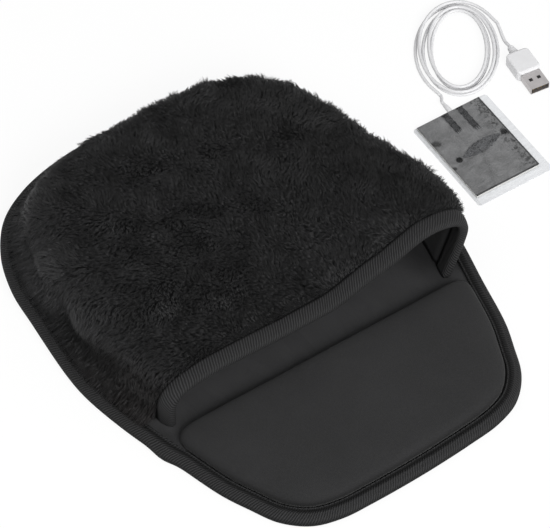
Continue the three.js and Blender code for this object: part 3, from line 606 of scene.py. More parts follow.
def sheet_finish():
    """The sleeve's back sheet: white plastic with a faint calendered grain and handling creases."""
    paint = Paint("white_sheet")
    color = pad_settings().sleeve_color
    spot = paint.place(PAD_PLACE, PAD_TURN)
    x, _, _ = paint.parts(spot)
    grain = paint.noise(spot, 0.7)
    creases = paint.noise(paint.place(scale=(0.5, 2, 1)), 9, distortion=1.5)
    welds = 0
    for inset in WELD_INSETS:
        past = x + (SLEEVE_WIDTH / 2 - inset)
        welds = paint.ramp(past * past, 0, 0.03, 1.0, 0.0) + welds
    tone = paint.blend(welds * 0.5, paint.shades(creases, color, 0.93, 1.06), shade(color, 0.45))
    return paint.done(tone, paint.ramp(grain, 0, 1, 0.3, 0.5), 0.4, creases * 0.3 + grain * 0.03)


def clear_finish():
    """The sleeve's clear front sheet: mostly see-through, milky along creases and welded seams."""
    paint = Paint("clear_sheet")
    creases = paint.noise(paint.place(scale=(0.6, 1.8, 1)), 7, 4.0, distortion=1.0)
    haze = paint.noise(paint.place(), 2.5, 4.0, 0.7)
    milk = paint.ramp(creases * 0.7 + haze * 0.3, 0.4, 0.75, 0.002, 0.035)
    return paint.done(
        (0.9, 0.92, 0.95, 1.0), paint.ramp(haze, 0, 1, 0.12, 0.3), 0.3, creases * 0.35, Alpha=milk)


def vinyl_finish(name, factor):
    """White flexible vinyl with a faint orange-peel skin, handling marks and softer gloss in places."""
    paint = Paint(name)
    spot = paint.place()
    peel = paint.noise(spot, 0.9, 2.0)
    marks = paint.noise(spot, 6, 5.0, 0.7)
    tone = paint.shades(marks, pad_settings().vinyl_color, 0.92 * factor, 1.05 * factor)
    return paint.done(tone, paint.ramp(marks, 0, 1, 0.32, 0.5), 0.45, peel * 0.03)


def tongue_finish():
    """Black moulded plastic of the plug's tongue, matt where the contacts have rubbed it."""
    paint = Paint("black_plastic_tongue")
    rub = paint.noise(paint.place(turn=PLUG_TURN, scale=(0.3, 3, 1)), 0.6)
    tone = paint.blend(rub, (0.014, 0.014, 0.014), (0.03, 0.03, 0.03))
    return paint.done(tone, paint.ramp(rub, 0, 1, 0.45, 0.7), 0.2, rub * 0.02)


def steel_finish():
    """Nickel-plated sheet steel with fine lengthwise scratches and dull finger marks."""
    paint = Paint("plated_steel")
    scratches = paint.noise(paint.place(turn=PLUG_TURN, scale=(0.15, 3, 1)), 0.5, 4.0, 0.7)
    smears = paint.noise(paint.place(), 4)
    tone = paint.shades(smears * 0.6 + scratches * 0.4, pad_settings().steel_color, 0.8, 1.2)
    rough = paint.ramp(smears, 0, 1, 0.28, 0.5)
    return paint.done(tone, rough, relief=scratches * 0.02, Metallic=0.9)


def gold_finish():
    """Thin gold flash on the contacts, rubbed along their length."""
    paint = Paint("contact_gold")
    rub = paint.noise(paint.place(turn=PLUG_TURN, scale=(0.2, 3, 1)), 0.4, 3.0, 0.6)
    tone = paint.blend(rub, (0.62, 0.42, 0.14), (0.86, 0.64, 0.28))
    return paint.done(tone, paint.ramp(rub, 0, 1, 0.2, 0.4), relief=rub * 0.02, Metallic=1.0)


def seen_rays(paint):
    """1 for the camera's own rays and for those that reach it by gloss or through the clear sheet."""
    outputs = paint.node("ShaderNodeLightPath").output.node.outputs
    names = ("Is Camera Ray", "Is Glossy Ray", "Is Transmission Ray")
    return paint.most(*[Socket(paint, outputs[name]) for name in names])


def floor_finish():
    """The pale studio floor: it shows white, and keeps a soft part of the object's shadow."""
    paint = Paint("studio_floor")
    diffuse = paint.node("ShaderNodeBsdfDiffuse", Color=(0.9, 0.9, 0.9, 1.0))
    white = paint.node("ShaderNodeEmission", Color=(1.0, 1.0, 1.0, 1.0), Strength=1.0)
    surface = paint.node(
        "ShaderNodeMixShader", input_0=seen_rays(paint) * FLOOR_WHITE, input_1=diffuse, input_2=white)
    paint.node("ShaderNodeOutputMaterial", Surface=surface)
    return paint.data


def world_finish():
    """Soft white light all round, at full strength where it is seen."""
    paint = Paint("studio", bpy.data.worlds)
    level = paint.ramp(seen_rays(paint), 0, 1, WORLD_LIGHT, 1.0)
    light = paint.node("ShaderNodeBackground", Strength=level)
    paint.node("ShaderNodeOutputWorld", Surface=light)
    return paint.data


def grid(columns, rows, place):
    """A flat grid whose points a function of their two shares carries to their places."""
    bm = bmesh.new()
    bm.loops.layers.uv.new("UVMap")
    bmesh.ops.create_grid(bm, x_segments=columns, y_segments=rows, size=1, calc_uvs=True)
    shares = np.array([vert.co[:2] for vert in bm.verts]) / 2 + 0.5
    for vert, spot in zip(bm.verts, place(shares[:, 0], shares[:, 1]) * MM):
        vert.co = spot
    return bm


def closed(bm):
    """Merges the points where a grid meets itself, and turns its faces outwards."""
    bmesh.ops.remove_doubles(bm, verts=bm.verts[:], dist=MERGE_GAP)
    bmesh.ops.dissolve_degenerate(bm, dist=MERGE_GAP / 4, edges=bm.edges[:])
    bmesh.ops.recalc_face_normals(bm, faces=bm.faces[:])
    return bm


def slab(columns, rows, outer, inner):
    """Two grids, one over the other, joined along their rims into one closed body."""
    bm = grid(columns, rows, outer)
    store = mesh_of("lower_skin", grid(columns, rows, inner))
    bm.from_mesh(store)
    bpy.data.meshes.remove(store)
    bmesh.ops.bridge_loops(bm, edges=[edge for edge in bm.edges if edge.is_boundary])
    return closed(bm)


def mesh_of(name, bm):
    mesh = bpy.data.meshes.new(name)
    bm.to_mesh(mesh)
    bm.free()
    return mesh


def add_object(name, data, place=(0, 0, 0), aim=None):
    """Puts an object in the scene, turned to look at its aim if it has one."""
    thing = bpy.data.objects.new(name, data)
    thing.location = place
    if aim is not None:
        thing.rotation_euler = (Vector(aim) - Vector(place)).to_track_quat("-Z", "Y").to_euler()
    bpy.context.scene.collection.objects.link(thing)
    return thing


def add_piece(name, data, finish, body, slot, *replaced):
    """Makes a mesh or a curve one piece of the object, riding on a body."""
    data.materials.append(finish)
    piece = add_object(name, data)
    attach(piece, body)
    if replaced:
        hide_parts(*replaced)
    return piece


def add_mesh(name, mesh, *facts):
    mesh.polygons.foreach_set("use_smooth", [True] * len(mesh.polygons))
    return add_piece(name, mesh, *facts)


def add_bmesh(name, bm, *facts):
    return add_mesh(name, mesh_of(name, bm), *facts)


def finish_nodes(finish, *nodes):
    """Gives CAD nodes that stay their finish."""
    for node in nodes:
        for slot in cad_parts[node].material_slots:
            slot.material = finish


def eased(share):
    share = np.clip(share, 0, 1)
    return share * share * (3 - 2 * share)


def lerp(first, second, share):
    return first + (second - first) * share


def unit(vectors):
    return vectors / np.maximum(np.linalg.norm(vectors, axis=-1), 1e-9)[..., None]


def turned(x, y, angle):
    cos, sin = np.cos(angle), np.sin(angle)
    return x * cos - y * sin, x * sin + y * cos


def bell(gap):
    return np.exp(-gap ** 2)


def ring(points):
    """The same points with the first once more at their end."""
    return np.vstack([points, points[:1]])


def lengths_along(line):
    """The way from a line's start to each of its points."""
    return np.concatenate([[0], np.cumsum(np.linalg.norm(np.diff(line, axis=0), axis=1))])


def centripetal(points, steps=24):
    """A smooth closed line through its points, as in the model's source."""
    line = []
    count = len(points)
    for index in range(count):
        before, start, end, after = [points[(index + step) % count] for step in (-1, 0, 1, 2)]
        first, middle, last = [
            math.sqrt(np.linalg.norm(b - a)) for a, b in ((before, start), (start, end), (end, after))]
        leave = (start - before) / first - (end - before) / (first + middle) + (end - start) / middle
        arrive = (end - start) / middle - (after - start) / (middle + last) + (after - end) / last
        leave, arrive = leave * middle, arrive * middle
        share = np.linspace(0, 1, steps, endpoint=False)[:, None]
        line.append(
            start + leave * share
            + (3 * (end - start) - 2 * leave - arrive) * share ** 2
            + (2 * (start - end) + leave + arrive) * share ** 3)
    return np.concatenate(line)


def smooth_line(points, steps=10):
    """An open smooth line through its points, by the same rule."""
    before, after = 2 * points[0] - points[1], 2 * points[-1] - points[-2]
    line = centripetal(np.vstack([before[None], points, after[None]]), steps)
    return np.vstack([line[steps:steps * len(points)], points[-1:]])


def spaced(line, steps):
    """The same closed line with evenly spaced points."""
    line = ring(line)
    lengths = lengths_along(line)
    wanted = np.linspace(0, lengths[-1], steps + 1)[:-1]
    return np.stack([np.interp(wanted, lengths, column) for column in line.T], 1)


def base_line():
    half = OUTLINE_SHARES * (BASE_WIDTH / 2, BASE_LENGTH / 2)
    other = half[1:-1][::-1] * (-1, 1)
    return spaced(centripetal(np.vstack([half, other])), OUTLINE_STEPS)


BASE_LINE = base_line()
BASE_AHEAD = unit(np.roll(BASE_LINE, -1, axis=0) - np.roll(BASE_LINE, 1, axis=0))
BASE_INWARD = np.stack([-BASE_AHEAD[:, 1], BASE_AHEAD[:, 0]], 1)
BASE_AROUND = lengths_along(ring(BASE_LINE))[-1]
BASE_SPOTS = np.linspace(0, 1, OUTLINE_STEPS, endpoint=False)


def base_ring(inset, share=BASE_SPOTS):
    """Points round the base at shares of its way round, drawn in by an inset."""
    spots = np.linspace(0, 1, OUTLINE_STEPS + 1)
    table = ring(np.hstack([BASE_LINE, BASE_INWARD]))
    found = np.stack([np.interp(share, spots, column) for column in table.T], 1)
    return found[:, :2] + found[:, 2:] * np.reshape(inset, (-1, 1))


def base_gap(points):
    """The inward way at the base's outline beside points, and how far inside it they lie."""
    tree = KDTree(len(BASE_LINE))
    for index, spot in enumerate(BASE_LINE):
        tree.insert((*spot, 0), index)
    tree.balance()
    nearest = np.array([tree.find((*point[:2], 0))[1] for point in points], int)
    inward = BASE_INWARD[nearest]
    return inward, ((points[:, :2] - BASE_LINE[nearest]) * inward).sum(1)


def half_widths(line):
    """A line's right half as its places along the part and its half widths there."""
    right = line[line[:, 0] >= 0]
    order = np.argsort(right[:, 1])
    return right[order, 1], right[order, 0]


FOOT_LINE = BASE_LINE + BASE_INWARD * COVER_INSET
FOOT_SIDE = half_widths(FOOT_LINE)
FOOT_REAR = FOOT_LINE[FOOT_LINE[:, 1] > COVER_CORNER / 2]
FOOT_BACK = FOOT_REAR[np.argsort(FOOT_REAR[:, 0])]


def cover_point(turn, behind):
    """A point on the cover's middle surface: turn is -1 to 1 over the arch, behind is from the mouth."""
    turn, behind = np.broadcast_arrays(np.asarray(turn, float), np.asarray(behind, float))
    angle = turn * QUARTER
    wide = np.sign(turn) * np.abs(np.sin(angle)) ** (2 / ARCH_POWER)
    tall = np.clip(np.cos(angle), 0, 1) ** (2 / ARCH_POWER)
    tall = np.where(np.abs(turn) >= 1, 0, tall)
    share = np.minimum(behind / COVER_LENGTH, 1)
    later = np.maximum(share, 0)
    deep = np.maximum(0, 1 - later ** BACK_POWER) ** (1 / BACK_POWER)
    front = 1 - eased(share / MOUTH_FADE_SHARE)
    steps = (-1, -0.4, 0.4, 1)
    lift = sum(np.interp(wide + LIFT_BLUR * step, *MOUTH_LIFT_SHARES.T) for step in steps) / len(steps)
    height = lerp(COVER_HEIGHT, MOUTH_HEIGHT, front) + MOUTH_LIFT * lift * front
    lean = lerp(MOUTH_FLARE, COVER_LEAN, eased(share / FLARE_FADE_SHARE))
    skewed = MOUTH_PLACE + behind - MOUTH_SKEW * wide * front
    foot = wide * np.interp(skewed, *FOOT_SIDE)
    x = foot + lean * np.maximum(wide, 0) * tall * deep
    y = skewed + later ** BOW_POWER * (np.interp(foot, *FOOT_BACK.T) - COVER_CORNER)
    return np.stack([x, y, SEAT_LEVEL + height * tall * deep], -1)


def cover_normal(turn, behind, small=1e-3):
    """The cover's outward direction there, level along the foot."""
    turn, behind = np.broadcast_arrays(np.asarray(turn, float), np.asarray(behind, float))
    step = COVER_LENGTH * small
    over = cover_point(np.minimum(turn + small, 1), behind)
    over = over - cover_point(np.maximum(turn - small, -1), behind)
    back = np.minimum(behind + step, COVER_LENGTH)
    away = cover_point(turn, back) - cover_point(turn, back - 2 * step)
    side = np.stack([away[..., 1] * np.sign(turn), -away[..., 0] * np.sign(turn), 0 * turn], -1)
    rear = np.stack([-over[..., 1], over[..., 0], 0 * turn], -1)
    at_foot = np.abs(turn) >= 1
    normal = np.where(at_foot[..., None], side, np.cross(over, away))
    normal = np.where(((behind >= COVER_LENGTH) & ~at_foot)[..., None], rear, normal)
    return unit(normal)


def turn_of_wide(wide):
    return np.sign(wide) * np.arcsin(np.abs(wide) ** (ARCH_POWER / 2)) / QUARTER


def turn_of_tall(tall):
    return np.arccos(np.clip(tall, 0, 1) ** (ARCH_POWER / 2)) / QUARTER


def behind_of_deep(deep):
    return COVER_LENGTH * (1 - np.clip(deep, 0, 1) ** BACK_POWER) ** (1 / BACK_POWER)


RIDGE_TURN = float(turn_of_wide(RIDGE_ACROSS))
RIDGE_TALL = math.cos(RIDGE_TURN * QUARTER) ** (2 / ARCH_POWER)
RIDGE_DEEP = (1 - RIDGE_ALONG ** BACK_POWER) ** (1 / BACK_POWER)
RIDGE_BEHIND = RIDGE_ALONG * COVER_LENGTH


def on_top(across, along):
    """Turn and distance behind the mouth at two shares of the top panel."""
    return turn_of_wide((across * 2 - 1) * RIDGE_ACROSS), along * RIDGE_BEHIND


def on_side(along, down):
    """The same on the side band: along runs from the left foot of the mouth round the back to the
    right, down from the ridge to the foot."""
    turn = turn_of_tall((1 - down) * RIDGE_TALL)
    behind = behind_of_deep((1 - down) * RIDGE_DEEP)
    wide = np.abs(np.sin(turn * QUARTER)) ** (2 / ARCH_POWER)
    back = np.clip((along - SIDE_LEG) / (1 - 2 * SIDE_LEG), 0, 1) * 2 - 1
    left, right = along < SIDE_LEG, along > 1 - SIDE_LEG
    at_turn = np.where(left, -turn, np.where(right, turn, turn_of_wide(back * wide)))
    leg = np.where(left, along, 1 - along) / SIDE_LEG
    return at_turn, behind * np.clip(leg, 0, 1)


def arch_turn(share):
    """Turns over the whole arch: even across the top, and even in height down the two sides."""
    side = turn_of_tall(np.clip(np.minimum(share, 1 - share) / ARCH_LEG, 0, 1) * RIDGE_TALL)
    over = np.clip((share - ARCH_LEG) / (1 - 2 * ARCH_LEG), 0, 1) * 2 - 1
    middle = turn_of_wide(over * RIDGE_ACROSS)
    return np.where(share < ARCH_LEG, -side, np.where(share > 1 - ARCH_LEG, side, middle))


def ripples(points, size, seed, count=7):
    """Soft random waves over points, about a size from crest to crest, within -1 and 1."""
    rng = np.random.default_rng(seed)
    ways = rng.normal(size=(count, points.shape[-1]))
    ways *= (2 * math.pi / size) / np.linalg.norm(ways, axis=1)[:, None]
    ways *= rng.uniform(0.7, 1.4, (count, 1))
    phases = rng.uniform(0, 2 * math.pi, count)
    return np.sin(points @ ways.T + phases).sum(-1) / math.sqrt(count) * 0.8


def ground_depth(points, behind):
    """How far the pile's lumpy ground stands off the cover's middle surface."""
    grown = eased((behind - BINDING_WIDTH) / 4)
    lumps = 0.8 * ripples(points, 30, 3) + 0.4 * ripples(points, 11, 4)
    return CLEARANCE + BACKING + grown * (GROUND_LIFT + lumps)


def lining_depth(offset, waves=0.0):
    """A depth function for what lies under the wadding, offset below it and waving."""
    def depth(points, behind):
        pressed = eased((behind - BINDING_WIDTH) / 4)
        level = -lerp(WADDING_PRESSED, WADDING, pressed) - offset
        return level - waves * ripples(points, 40, 13) if waves else level
    return depth


def on_cover(region, depth):
    """A place function for a grid on one region of the cover."""
    def place(across, along):
        turn, behind = region(across, along)
        points = cover_point(turn, behind)
        reach = depth(points, behind) if callable(depth) else depth
        return points + cover_normal(turn, behind) * np.reshape(reach, (-1, 1))
    return place


def strand_seeds(region, columns, rows, count, rng):
    """Evenly scattered places on a region, as turns and distances behind the mouth, and its area."""
    shares = np.linspace(0, 1, columns + 1), np.linspace(0, 1, rows + 1)
    corners = cover_point(*region(*np.meshgrid(*shares, indexing="ij")))
    one = corners[1:, :-1] - corners[:-1, :-1]
    other = corners[:-1, 1:] - corners[:-1, :-1]
    areas = np.linalg.norm(np.cross(one, other), axis=-1).ravel()
    cells = rng.choice(areas.size, count, p=areas / areas.sum())
    left = (cells // rows + rng.random(count)) / columns
    front = (cells % rows + rng.random(count)) / rows
    turn, behind = region(left, front)
    kept = behind > PILE_START - PILE_MARGIN
    return turn[kept], behind[kept], areas.sum()


def combed(points, seed):
    """The way the pile lies at points, and how flat, blended from the comb's places with swirls."""
    gaps = np.linalg.norm(points[:, None, :2] - COMB[None, :, :2], axis=2)
    weights = 1 / (gaps + 6) ** 3
    weights /= weights.sum(1)[:, None]
    way, flat = weights @ COMB[:, 2:4], weights @ COMB[:, 4]
    loose = np.clip(1.25 - flat * 1.2, 0.1, 1)
    swirl = (ripples(points, 36, seed) * 1.7 + ripples(points, 14, seed + 1) * 0.9) * loose
    return np.stack([*turned(way[:, 0], way[:, 1], swirl), np.zeros(len(way))], 1), flat


def above_fringe(points):
    """1 above the lower edge of the left side's pale fringe, and 0 under it."""
    return eased((points[:, 2] - np.interp(points[:, 1], *FRINGE) - 2) / 4)


def far_sides(normals):
    """1 on the back and right sides of the cover, and 0 on its top, left and front."""
    return eased((normals[:, 1] * 0.8 + normals[:, 0] * 0.6 - 0.2) / 0.35)


def pile_lay_and_light(points, normals):
    """How pale the pile is painted: 1 in the left fringe that is combed outwards, a painted highlight,
    and 0 on the wall under it, painted shade, which also falls on steep sides, near the mouth and
    towards the right; a painted rim highlight on the back and right sides, paler low on the left, and
    random patches of tone.
    """
    left = eased((-normals[:, 0] + normals[:, 1] * 0.3) / 0.35)
    above = above_fringe(points)
    fringe = left * above * bell(np.maximum(normals[:, 2] - 0.7, 0) / 0.25)
    steep = 1 - eased((normals[:, 2] - 0.1) / 0.35)
    low = 1 - eased((points[:, 2] - SEAT_LEVEL - 3) / 9)
    wall = lerp(steep, 1 - above, left) * (1 - low * left)
    mouth = np.exp(-np.maximum(points[:, 1] - MOUTH_PLACE, 0) / 38) * (1 - fringe) * (1 - low)
    right = eased((points[:, 0] - 20) / 60)
    rim = far_sides(normals) * bell((normals[:, 2] - 0.5) / 0.3)
    patches = 0.12 * ripples(points, 24, 41) + 0.08 * ripples(points, 9, 42)
    # Painted light: a highlight on the fringe and the rim, painted shade on the walls, near the mouth
    # and towards the right
    lay_and_painted_light = 0.25 + 0.75 * fringe - 0.25 * wall - 0.24 * mouth - 0.1 * right + 0.35 * low * left
    return np.clip(lay_and_painted_light + 0.4 * rim + patches * (1 - mouth), 0, 1)


def grow(turn, behind, rng):
    """The three stations of each strand from root to tip, gathered into tufts, and its share of painted
    light and shade.
    """
    points, normals = cover_point(turn, behind), cover_normal(turn, behind)
    count = len(points)
    roots = points + normals * (ground_depth(points, behind) - 0.3)[:, None]
    above_seat = points[:, 2] - SEAT_LEVEL
    low = 1 - eased(above_seat / 13)
    left = eased((-points[:, 0] + points[:, 1] * 0.4 - 20) / 40)
    far = far_sides(normals)
    fallen = left * (1 - eased((above_seat - 7) / 8))

    way, flat = combed(points, 21)
    way[:, 1] -= 0.5 * (1 - eased((behind - PILE_START) / 3))
    way[:, 2] -= (1 - np.clip(normals[:, 2], 0, 1)) * lerp(0.9, 0.3, low)
    lie = unit(way - normals * (way * normals).sum(1)[:, None])
    cross = np.cross(normals, lie)

    ridge = eased((flat - 0.62) / 0.15) * eased((above_seat - 12) / 12)
    spread = low * lerp(0.35, 1.0, left)
    wall = left * (1 - above_fringe(points)) * (1 - low)
    length = settings().pile_length / MM * rng.uniform(0.75, 1.2, count)
    length *= 1 + 0.45 * ridge + 0.8 * spread - 0.35 * wall + 0.12 * ripples(points, 18, 31)
    length *= lerp(0.45, 1.0, eased((behind - PILE_START + PILE_MARGIN) / 6))
    length *= lerp(1.0, rng.uniform(0.75, 1.3, count), far)
    rise = length * lerp(lerp(lerp(0.72, 0.48, flat), 0.76, far), 0.95, low)
    run = length * lerp(lerp(0.5, 0.9, flat), 0.35, low)
    sway = length * rng.normal(0, 0.3, count) * lerp(1.0, 0.5, flat)
    shares = np.stack([rise * 0.72, run * 0.3, sway * 0.3]), np.stack([rise, run, sway * 0.75])
    middle, tip = [
        roots + normals * up[:, None] + lie * on[:, None] + cross * aside[:, None]
        for up, on, aside in shares]

    inward, depth = base_gap(roots)
    fall = np.maximum(depth - rng.uniform(*FALL_DEPTHS, count), 0)
    end = roots[:, :2] - inward * fall[:, None] + rng.normal(0, 1.1, (count, 2))
    tip[:, :2] = lerp(tip[:, :2], end, fallen[:, None])
    middle[:, :2] = lerp(middle[:, :2], lerp(roots[:, :2], end, 0.5), fallen[:, None])
    middle[:, 2] = lerp(middle[:, 2], np.maximum(roots[:, 2] * 0.6 + 4.5, 10.5), fallen)
    tip[:, 2] = lerp(tip[:, 2], 0, fallen)

    middle = gather(roots, middle, 0.3, rng)
    tip = gather(roots, tip, 0.6 - 0.4 * fallen + 0.25 * far, rng)
    for station, resting in ((middle, 0.35), (tip, 0.2)):
        lowest = TAPE_TOP + resting + rng.random(count) * 1.2
        station[:, 2] = np.maximum(station[:, 2], lowest)
        draw_in(station)
    return roots, middle, tip, pile_lay_and_light(points, normals)


def draw_in(points):
    """Draws low points back inside the base's outline, so that a narrow edge of the tape stays bare."""
    low = np.flatnonzero(points[:, 2] < LOW_PILE)
    inward, depth = base_gap(points[low])
    points[low, :2] += inward * np.maximum(0, BARE_EDGE - depth)[:, None]


def gather(roots, ends, share, rng):
    """Draws each end towards that of the tuft that it grows in."""
    leaders = np.arange(0, len(roots), TUFT_STRANDS)
    tree = KDTree(len(leaders))
    for leader in leaders:
        tree.insert(roots[leader], int(leader))
    tree.balance()
    nearest = np.array([tree.find(root)[1] for root in roots])
    pull = share * rng.uniform(0.6, 1.1, len(roots))
    return ends + (ends[nearest] - ends) * pull[:, None]


def strand_mesh(name, stations, rng, bent):
    """Three-sided strands as one mesh, each a root ring, a middle ring if it is bent, and a tip."""
    root, middle, tip, lay_and_painted_light = stations
    count = len(root)
    width = settings().pile_width / MM * rng.uniform(0.75, 1.25, count)
    ahead = unit(tip - root)
    side = unit(np.cross(ahead, (0.31, 0.17, 0.93)))
    up = np.cross(side, ahead)
    rings = []
    for centre, share in ((root, 1.0), (middle, 0.72))[:2 if bent else 1]:
        for corner in range(3):
            angle = 2 * math.pi * corner / 3
            reach = side * math.cos(angle) + up * math.sin(angle)
            rings.append(centre + reach * (width * share / 2)[:, None])
    size = len(rings) + 1
    last = size - 4
    quads = [(0, 1, 4, 3), (1, 2, 5, 4), (2, 0, 3, 5)] if bent else []
    ends = [(last + a, last + b, last + 3) for a, b in ((0, 1), (1, 2), (2, 0))]
    faces = [*quads, *ends, (0, 2, 1)]
    first = np.arange(count)[:, None] * size
    loops = np.concatenate([first + np.array(face) for face in faces], 1)
    sizes = np.tile([len(face) for face in faces], count)
    starts = np.concatenate([[0], np.cumsum(sizes)[:-1]])
    points = np.stack([*rings, tip], 1) * MM
    mesh = bpy.data.meshes.new(name)
    mesh.vertices.add(count * size)
    mesh.vertices.foreach_set("co", points.reshape(-1).astype(np.float32))
    mesh.loops.add(loops.size)
    mesh.loops.foreach_set("vertex_index", loops.reshape(-1).astype(np.int32))
    mesh.polygons.add(len(sizes))
    mesh.polygons.foreach_set("loop_start", starts.astype(np.int32))
    mesh.update(calc_edges=True)
    mesh.validate()
    # The last attribute carries the strand's painted highlight and shade to its finish
    values = {
        "tip": np.tile([0] * 3 + [0.55] * last + [1], count),
        "fibre": np.repeat(rng.random(count), size),
        "lay_and_painted_light": np.repeat(lay_and_painted_light, size),
    }
    for key, value in values.items():
        layer = mesh.attributes.new(key, "FLOAT", "POINT")
        layer.data.foreach_set("value", value.astype(np.float32))
    return mesh


def folded_section(width, bottom, top, thickness, swell, nose, steps=9):
    """The closed section of a tape folded round an edge, as [inset, level] points: round at its nose,
    swelling over the rest by lifts that are spaced from its inner edge on, and one thickness thick."""
    middle, half = (bottom + top) / 2, (top - bottom) / 2
    angles = np.linspace(QUARTER, -QUARTER, steps)
    round_nose = np.stack([nose - nose * np.cos(angles) ** 0.8, middle + half * np.sin(angles)], 1)
    round_nose = round_nose + (0, 0.3 * max(swell)) * (angles > 0)[:, None]
    flat = np.linspace(width, nose, len(swell) + 1)[:-1]
    upper = np.stack([flat, top + swell], 1)
    lower = np.stack([flat[::-1], np.full(len(flat), bottom)], 1)
    outer = np.vstack([upper, round_nose, lower])
    way = unit(np.gradient(outer, axis=0))
    inner = outer + np.stack([-way[:, 1], way[:, 0]], 1) * thickness
    return np.vstack([outer, inner[::-1]])


def tape(columns, section, length, place):
    """A tape whose grid carries a section along, with a UV map in millimetres along and around it."""
    count = len(section)
    shares, lengths = np.linspace(0, 1, count + 1), lengths_along(ring(section))

    def carry(along, step):
        index = np.rint(step * count).astype(int) % count
        return place(along, *section[index].T)

    bm = grid(columns, count, carry)
    layer = bm.loops.layers.uv.active
    for face in bm.faces:
        for loop in face.loops:
            along, around = loop[layer].uv
            loop[layer].uv = (along * length, float(np.interp(around, shares, lengths)))
    return bm


def cushion_line():
    """The wrist cushion's outline, beside the tape in front and slanted across at its back."""
    edge = base_ring(BINDING_WIDTH + CUSHION_GROOVE)
    wide = np.interp(CUSHION_BACK, *half_widths(edge))
    left = np.array((-wide, CUSHION_BACK + MOUTH_SKEW))
    right = np.array((wide, CUSHION_BACK - MOUTH_SKEW))
    front_left = edge[(edge[:, 0] < 0) & (edge[:, 1] < left[1] - CUSHION_CORNER)]
    front_right = edge[(edge[:, 0] >= 0) & (edge[:, 1] < right[1] - CUSHION_CORNER)]
    front_left = front_left[np.argsort(-front_left[:, 1])]
    front_right = front_right[np.argsort(front_right[:, 1])]
    share = np.linspace(0, 1, 9)[1:, None]

    def bend(start, corner, end):
        return start * (1 - share) ** 2 + 2 * corner * share * (1 - share) + end * share ** 2

    inner = CUSHION_CORNER * 1.6
    start, end = right - (inner, 0), left + (inner, 0)
    line = np.vstack([
        front_left, front_right, bend(front_right[-1], right, start), end[None],
        bend(end, left, front_left[0])])
    line = spaced(line, CUSHION_STEPS)
    for _ in range(4):
        line = (np.roll(line, 1, axis=0) + 2 * line + np.roll(line, -1, axis=0)) / 4
    return line


def pad_points(x, y, level):
    """Places on the heating pad, in the frame of the whole part."""
    across, up = turned(x, y, PAD_TURN)
    return np.stack([PAD_PLACE[0] + across, PAD_PLACE[1] + up, level], -1)


def foil(columns, rows, place, waves, size, seed):
    """A thin crinkled foil on the film, over places in the pad's frame."""
    def skin(lift):
        def carry(across, along):
            x, y = place(across, along)
            level = FOIL_LEVEL + lift + waves * ripples(np.column_stack([x, y]), size, seed)
            return pad_points(x, y, level)
        return carry
    return slab(columns, rows, *[skin(lift) for lift in FOIL_SKINS])


def on_plug(along, level):
    """A place on the plug's long axis, in the frame of the whole part."""
    return np.array((*(PLUG_PLACE + turned(along, 0.0, PLUG_TURN)), level))


def coil_point(share):
    """A place along the coil, which winds in on the floor and out again on top."""
    inward = 1 - abs(1 - 2 * share)
    aside = COIL_ASIDE * math.sin(math.pi * max(0.0, 2 * share - 1)) ** 0.6
    wander = COIL_WANDER * math.sin(share * 21) * math.sin(math.pi * share)
    angle = COIL_START - share * COIL_WIND
    half = math.pi / COIL_WIND
    climb = float(eased((share - (1 - half) / 2) / half))
    radii = lerp(COIL_OUTER, COIL_INNER, min(1.0, inward + aside + wander))
    spot = COIL_PLACE + turned(radii[0] * math.cos(angle), radii[1] * math.sin(angle), COIL_TURN)
    return np.array((*spot, CORD_DIAMETER / 2 + climb * (CORD_DIAMETER + COIL_LAYER_GAP)))


def past(end, inner, distance, level):
    """Straight on from the coil's end, by a distance and at a level."""
    spot = end + unit((end - inner) * (1, 1, 0)) * distance
    return np.array((spot[0], spot[1], level))


def cord_route():
    """The whole lead from the pad's gland through the coil to the back of the plug's relief."""
    coil = np.array([coil_point(step / COIL_STEPS) for step in range(COIL_STEPS + 1)])
    radius = CORD_DIAMETER / 2
    start = [pad_points(GLAND_X, GLAND_END + step, GLAND_HEIGHT) for step in (0, CORD_DIAMETER)]
    leave = [past(coil[0], coil[1], distance, radius) for distance in (6, 4, 2)]
    arrive = [past(coil[-1], coil[-2], distance, coil[-1][2]) for distance in (2, 4)]
    plug = [
        on_plug(PLUG_BACK - 3 * CORD_DIAMETER, PLUG_HEIGHT - radius),
        on_plug(PLUG_BACK - CORD_DIAMETER, PLUG_HEIGHT), on_plug(PLUG_BACK, PLUG_HEIGHT)]
    first = smooth_line(np.vstack([start, leave, coil[:2]]))[:-10]
    last = smooth_line(np.vstack([coil[-2:], arrive, plug]))[10:]
    return np.vstack([first, coil[1:-1], last])


class PouchOperator(bpy.types.Operator):
    """Base of the operators that dress the part."""

    bl_options = {"REGISTER", "UNDO"}


class POUCH_OT_stage(PouchOperator):
    """Sets the camera, the pale floor, the world and the soft lamps"""

    bl_idname = "pouch.stage"
    bl_label = "Studio Stage"

    def execute(self, context):
        scene = context.scene
        scene.view_settings.view_transform = "Standard"
        scene.world = world_finish()
        lens = bpy.data.cameras.new("camera")
        lens.lens = CAMERA_LENS
        lens.sensor_width = 36
        lens.clip_end = 100
        scene.camera = add_object("camera", lens, CAMERA_PLACE, CAMERA_AIM)
        bm = bmesh.new()
        bmesh.ops.create_grid(bm, x_segments=8, y_segments=8, size=FLOOR_SIZE)
        mesh = mesh_of("floor", bm)
        mesh.materials.append(floor_finish())
        add_object("floor", mesh)
        for name, (place, size, power) in LAMPS.items():
            data = bpy.data.lights.new(name, "AREA")
            data.shape = "DISK"
            data.size = size
            data.energy = power
            add_object(name, data, place, (0, 0, 0))
        return {"FINISHED"}


